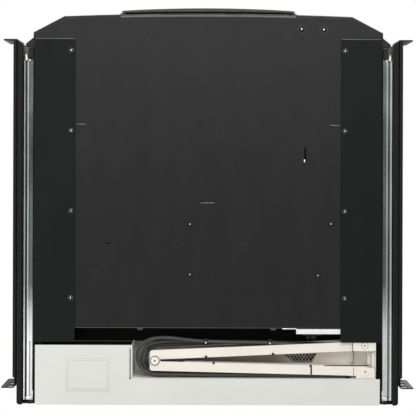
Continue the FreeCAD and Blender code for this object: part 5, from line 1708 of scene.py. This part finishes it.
@dataclass
class Handle(Assembly):
    """Grip handle, whose front edge bows back towards its ends, and the lip along that edge."""

    bow: float = 0.42
    power: float = 2.4
    rim_height: float = 0.5 * MM
    lip_inset: float = 4.0 * MM
    lip_width: float = 4.2 * MM
    lip_cuts: int = 31

    def bend(self, piece: Object, high: Vector) -> None:
        """Bows a piece back towards its ends.

        Args:
            piece: The piece.
            high: Highest corner of the handle.
        """
        for vertex in piece.data.vertices:
            share = min(1.0, abs(vertex.co.x) / high.x) ** self.power
            vertex.co.y = high.y + (vertex.co.y - high.y) * (1 - self.bow * share)

    def build(self) -> None:
        """Bends a copy of the handle, lets it stand for the frame's own, and adds the lip."""
        bench, node = self.bench, "grip_handle"
        low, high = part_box(node)
        handle = bench.merged_copy(self.shop.nodes[node], "bowed_grip_handle")
        self.bend(handle, high)
        bench.smooth(handle, angle=35)
        self.add(handle, Coat.MOULDING, "drawer", "black_plastic")
        # Painted highlight: the handle's lowest downward faces wear the edge coat.
        handle.data.materials.append(self.shop.material(Coat.EDGE))
        for face in handle.data.polygons:
            if face.center.z < low.z + self.rim_height and face.normal.z < -0.5:
                face.material_index = 1
        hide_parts(node)
        end = high.x - self.lip_inset
        lip = bench.block("grip_handle_lip", Vector((-end, low.y + 0.3 * MM, low.z - 0.1 * MM)),
                          Vector((end, low.y + self.lip_width, low.z + 0.6 * MM)))
        bench.divide_length(lip, end, self.lip_cuts)
        self.bend(lip, high)
        self.add(bench.round_edges(lip, 0.25 * MM), Coat.WORN, "drawer", "black_plastic")


@dataclass
class BoxDetails(Assembly):
    """Seam and pressed panel of the rear box, with painted shade on the panel's lines, its flanges
    in near black that also paints the shade beside the box, a black sheet that paints the shade in
    front of it, and the slide stops.

    Rectangles are given as X, Y, width and depth.
    """

    seam: Rectangle = (-0.0913, 0.3628, 0.0010, 0.0342)
    seam_height: float = 0.08 * MM
    seam_eye: float = 1.1 * MM
    panel: Rectangle = (-0.1666, 0.3738, 0.0516, 0.0390)
    step: float = 2.4 * MM
    line: float = 0.8 * MM
    proud: float = 0.14 * MM
    # Flanges beside the box, in near black that also paints the shade in the gaps there.
    flanges: tuple[Rectangle, ...] = (
        (-0.2056, 0.3552, 0.0024, 0.0720), (0.1986, 0.3552, 0.0070, 0.0430),
        (0.2032, 0.3980, 0.0024, 0.0290))
    flange_heights: Range = (-0.0212, -0.0200)
    # Ends and height of the black sheet in front of the box, painted shade in the gap to the side
    # plate.
    gap_shade_ends: Range = (-0.2056, -0.0895)
    gap_shade_height: float = 36 * MM
    stop_inner: float = 0.2061

    def frame(self, name: str, x: float, y: float, wide: float, deep: float, seat: float) -> Object:
        """Models a thin raised line round a rectangle, facing down.

        Args:
            name: The piece's name.
            x: Its left side.
            y: Its front side.
            wide: Its width.
            deep: Its depth.
            seat: Height of the sheet.

        Returns:
            The frame.
        """
        bench = self.bench
        bench.clear()
        bpy.ops.mesh.primitive_plane_add(size=1, location=(x + wide / 2, y + deep / 2, seat))
        bpy.context.active_object.scale = (wide, deep, 1)
        piece = bench.settle(name)
        bench.pick_faces(piece, lambda centre, normal: True)
        bpy.ops.mesh.inset(thickness=self.line)
        bpy.ops.mesh.delete(type="FACE")
        bpy.ops.mesh.select_all(action="SELECT")
        bench.push((0, 0, -self.proud))
        bench.close()
        bench.face_outwards(piece)
        return bench.round_edges(piece, 0.04 * MM, angle=30)

    def slide_ends(self) -> None:
        """Adds the folded stops at the rear end of each outer slide member."""
        stops = []
        inner_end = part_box("slide_middle_right")[1]
        for side, node in ((-1, "slide_outer_left"), (1, "slide_outer_right")):
            low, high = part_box(node)
            left, right = sorted((side * self.stop_inner, side * inner_end.x))
            start = Vector((left, inner_end.y + 0.4 * MM, low.z + 0.3 * MM))
            end = Vector((right, high.y + 0.4 * MM, low.z + 9 * MM))
            stops.append(self.bench.plate(f"stop_{side}", start, end, 0.5 * MM))
        self.add(self.bench.join("slide_rear_stops", stops), Coat.ZINC, "rack_frame", "zinc_steel")

    def build(self) -> None:
        """Adds the seam, the pressed panel, the flanges, the black sheet of painted shade in front
        of the box, and the slide stops.
        """
        bench = self.bench
        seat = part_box("rear_box_tray")[0].z
        x, y, wide, deep = self.seam
        seam = bench.block("seam", Vector((x, y, seat - self.seam_height)),
                           Vector((x + wide, y + deep, seat)))
        end = Vector((x + wide / 2, y + deep + 0.6 * MM, seat - self.seam_height))
        eye = bench.disc("seam_end", end, self.seam_eye, self.seam_height, sides=20)
        self.add(bench.join("box_seam", [seam, eye]), Coat.TIE, "rack_frame", "black_paint")
        # The panel's raised lines wear a coat a little darker than the box: painted shade on the
        # pressing.
        x, y, wide, deep = self.panel
        inner = self.frame("inner", x + self.step, y + self.step, wide - 2 * self.step,
                           deep - 2 * self.step, seat)
        panel = bench.join("box_pressed_panel",
                           [self.frame("outer", x, y, wide, deep, seat), inner])
        self.add(panel, Coat.BOX_LINE, "rack_frame", "light_paint")
        # The flanges wear the near-black shade coat, which also paints the shade beside the box.
        bottom, top = self.flange_heights
        strips = [bench.block("flange", Vector((left, front, bottom)),
                              Vector((left + wide, front + deep, top)))
                  for left, front, wide, deep in self.flanges]
        self.add(bench.join("box_side_flanges", strips), Coat.REAR, "rack_frame", "black_paint")
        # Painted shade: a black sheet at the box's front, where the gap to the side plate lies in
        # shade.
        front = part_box("rear_box_tray")[0].y
        left, right = self.gap_shade_ends
        gap_shade = bench.plate("box_front_gap_shade", Vector((left, front - 0.6 * MM, seat + 0.7 * MM)),
                           Vector((right, front - 0.1 * MM, seat + self.gap_shade_height)), 0.1 * MM)
        self.add(gap_shade, Coat.REAR, "rack_frame", "black_paint")
        self.slide_ends()


@dataclass
class VentMesh(Assembly):
    """Woven wire behind the opening in the box cover, and a black sheet behind it that paints the
    shade inside the box.
    """

    pitch: float = 3.3 * MM
    wire: float = 0.52 * MM
    weave: float = 0.3 * MM
    turn: float = 52.0

    def strand(self, length: float) -> Object:
        """Models one woven wire along X, from the origin, as a round section pushed out in steps.

        Args:
            length: How long it is.

        Returns:
            The wire.
        """
        bench = self.bench
        bench.clear()
        bpy.ops.mesh.primitive_circle_add(vertices=8, radius=self.wire, fill_type="NGON",
                                          rotation=(0, math.pi / 2, 0))
        wire = bench.settle("wire")
        bench.pick_points(wire, lambda point: True)
        for number in range(round(length / self.pitch)):
            bench.push((self.pitch, 0, 2 * self.weave * (-1) ** number))
        bench.close()
        return bench.face_outwards(wire)

    def build(self) -> None:
        """Lays two crossing sets of wires, trims them to the screen and puts a black sheet of
        painted shade behind them.
        """
        bench = self.bench
        low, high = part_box("vent_screen")
        middle = (low + high) / 2
        length = (high - low).xy.length + 4 * self.pitch
        half = int(length / self.pitch / 2) + 1
        places = []
        for way in (1, -1):
            turn = Matrix.Rotation(way * math.radians(self.turn), 4, "Z")
            for number in range(-half, half + 1):
                flip = Matrix.Scale((-1) ** number * way, 4, (0, 0, 1))
                place = moved(-length / 2, number * self.pitch, 0) @ flip
                places.append(moved(*middle) @ turn @ place)
        mesh = bench.spread("vent_wire", self.strand(length), places)
        for point, normal in ((low, Vector((0, -1, 0))), (high, Vector((0, 1, 0))),
                              (low, Vector((-1, 0, 0))), (high, Vector((1, 0, 0)))):
            bench.cut(mesh, point, normal)
        self.add(bench.smooth(bench.face_outwards(mesh)), Coat.WIRE, "rack_frame", "black_paint")
        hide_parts("vent_screen")
        # Painted shade: a black sheet just behind the wires, for the dark inside of the box.
        behind = Vector((0, 0, high.z + 0.05 * MM - low.z))
        sheet = bench.plate("vent_shade_sheet", low + behind, high + Vector((0, 0, 0.6 * MM)), 0.1 * MM)
        self.add(sheet, Coat.TIE, "rack_frame", "black_plastic")


@dataclass
class SlideGuides(Assembly):
    """Pale lead-ins at the front of the two outer slide members, under the moving ones."""

    length: float = 7.0 * MM
    width: float = 2.6 * MM
    height: float = 2.2 * MM
    drop: float = 2.5 * MM

    def guide(self, side: int) -> Object:
        """Models one lead-in, narrower to the front.

        Args:
            side: 1 for the right side, -1 for the left.

        Returns:
            The lead-in.
        """
        bench = self.bench
        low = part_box("slide_outer_right")[0]
        x = side * (low.x + 0.2 * MM)
        corner = Vector((min(x, x - side * self.width), low.y - self.length, low.z - self.drop))
        piece = bench.block(f"guide_{side}", corner,
                            corner + Vector((self.width, self.length, self.height)))
        bench.pick_faces(piece, lambda centre, normal: normal.y < -0.9)
        bench.squeeze((0.35, 1, 0.7), (x, low.y, low.z))
        return bench.round_edges(piece, 0.3 * MM)

    def build(self) -> None:
        """Adds both lead-ins."""
        pair = self.bench.join("slide_lead_ins", [self.guide(side) for side in (-1, 1)])
        self.add(pair, Coat.PALE, "rack_frame", "black_plastic")


# ---------------------------------------------------------------- studio
@dataclass(frozen=True)
class Lamp:
    """A soft square lamp: where it hangs, its side, its power in watts and the point it faces."""

    name: str
    place: Corner
    size: float
    power: float
    aim: Corner = (0.0, 0.2, 0.0)

    def hang(self) -> None:
        """Adds the lamp to the scene."""
        data = bpy.data.lights.new(self.name, "AREA")
        data.shape = "SQUARE"
        data.size = self.size
        data.energy = self.power
        lamp = bpy.data.objects.new(self.name, data)
        lamp.location = self.place
        towards = Vector(self.aim) - Vector(self.place)
        lamp.rotation_euler = towards.to_track_quat("-Z", "Y").to_euler()
        lamp.visible_camera = False
        bpy.context.scene.collection.objects.link(lamp)


@dataclass
class Studio:
    """Camera, lamps, floor and world."""

    eye: Corner = (0.0, 0.1406, -1.172)
    roll: float = -0.00317
    focal: float = 84.55
    shift: float = -0.115
    sensor: float = 36.0
    far: float = 20.0
    floor_size: float = 12.0
    ambient: float = 0.42
    lamps: tuple[Lamp, ...] = (
        Lamp("below_front", (0.1, -0.75, -1.35), 1.0, 17),
        Lamp("below_left", (-1.2, 0.5, -1.5), 1.2, 12),
        Lamp("front_low", (0.1, -1.9, -0.35), 0.8, 26, aim=(0.0, 0.0, 0.0)),
        Lamp("above_front", (0.5, -1.2, 1.9), 1.4, 30),
        Lamp("above_left", (-1.3, 0.6, 1.5), 1.2, 18))

    def camera(self) -> None:
        """Looks straight up at the underside, with the drawer's front at the top of the frame."""
        data = bpy.data.cameras.new("camera")
        data.lens = self.focal
        data.sensor_width = self.sensor
        data.shift_y = self.shift
        data.clip_end = self.far
        camera = bpy.data.objects.new("camera", data)
        camera.location = self.eye
        camera.rotation_euler = (math.pi, 0, self.roll)
        bpy.context.scene.collection.objects.link(camera)
        bpy.context.scene.camera = camera

    def floor(self) -> None:
        """Lays a pale floor that is seen from above only."""
        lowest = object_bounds()[0].z
        bpy.ops.object.select_all(action="DESELECT")
        bpy.ops.mesh.primitive_plane_add(size=self.floor_size, location=(0, 0.2, lowest))
        floor = bpy.context.active_object
        floor.name = "studio_floor"
        graph = Graph(bpy.data.materials.new("floor_paper"))
        seen = graph.node("ShaderNodeLightPath", output="Is Camera Ray")
        behind = graph.node("ShaderNodeNewGeometry", output="Backfacing")
        clear = graph.node("ShaderNodeBsdfTransparent")
        paper = graph.node("ShaderNodeBsdfDiffuse", None, {"Color": (0.86, 0.86, 0.86, 1)})
        mixed = graph.node("ShaderNodeMixShader", None,
                           {0: seen * (1 - behind), 1: clear, 2: paper})
        floor.data.materials.append(graph.output(mixed))
        floor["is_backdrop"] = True

    def world(self) -> None:
        """Lights the scene evenly, and shows white to the camera, metal and glass."""
        bpy.context.scene.world = bpy.data.worlds.new("studio")
        graph = Graph(bpy.context.scene.world)
        camera, glossy, through = (graph.node("ShaderNodeLightPath", output=f"Is {ray} Ray")
                                   for ray in ("Camera", "Glossy", "Transmission"))
        strength = graph.spread(camera.larger(glossy).larger(through), 0.0, 1.0, self.ambient, 1.0)
        graph.output(graph.node("ShaderNodeBackground", None,
                                {"Color": (1, 1, 1, 1), "Strength": strength}))

    def build(self) -> None:
        """Sets up everything that isn't the object."""
        for lamp in self.lamps:
            lamp.hang()
        self.floor()
        self.world()
        bpy.context.scene.view_settings.view_transform = "Standard"


def corners(box: tuple[Vector, Vector]) -> list[list[float]]:
    """Turns a box into plain lists of numbers."""
    return [[round(value, 6) for value in corner] for corner in box]


def main() -> None:
    """Builds the looks round the frame, in order."""
    logging.basicConfig(level=logging.INFO, format="%(message)s")
    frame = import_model()
    shop = Paintshop(frame["nodes"])
    studio = Studio()
    studio.camera()
    for assembly in (Harness(shop), FrameFinishes(shop), Screws(shop), PanPressings(shop),
                     Handle(shop), ArmFittings(shop), BoxDetails(shop), VentMesh(shop),
                     SlideGuides(shop)):
        assembly.build()
        log.info("%s is done", type(assembly).__name__)
    studio.build()


if __name__ == "__main__":
    main()
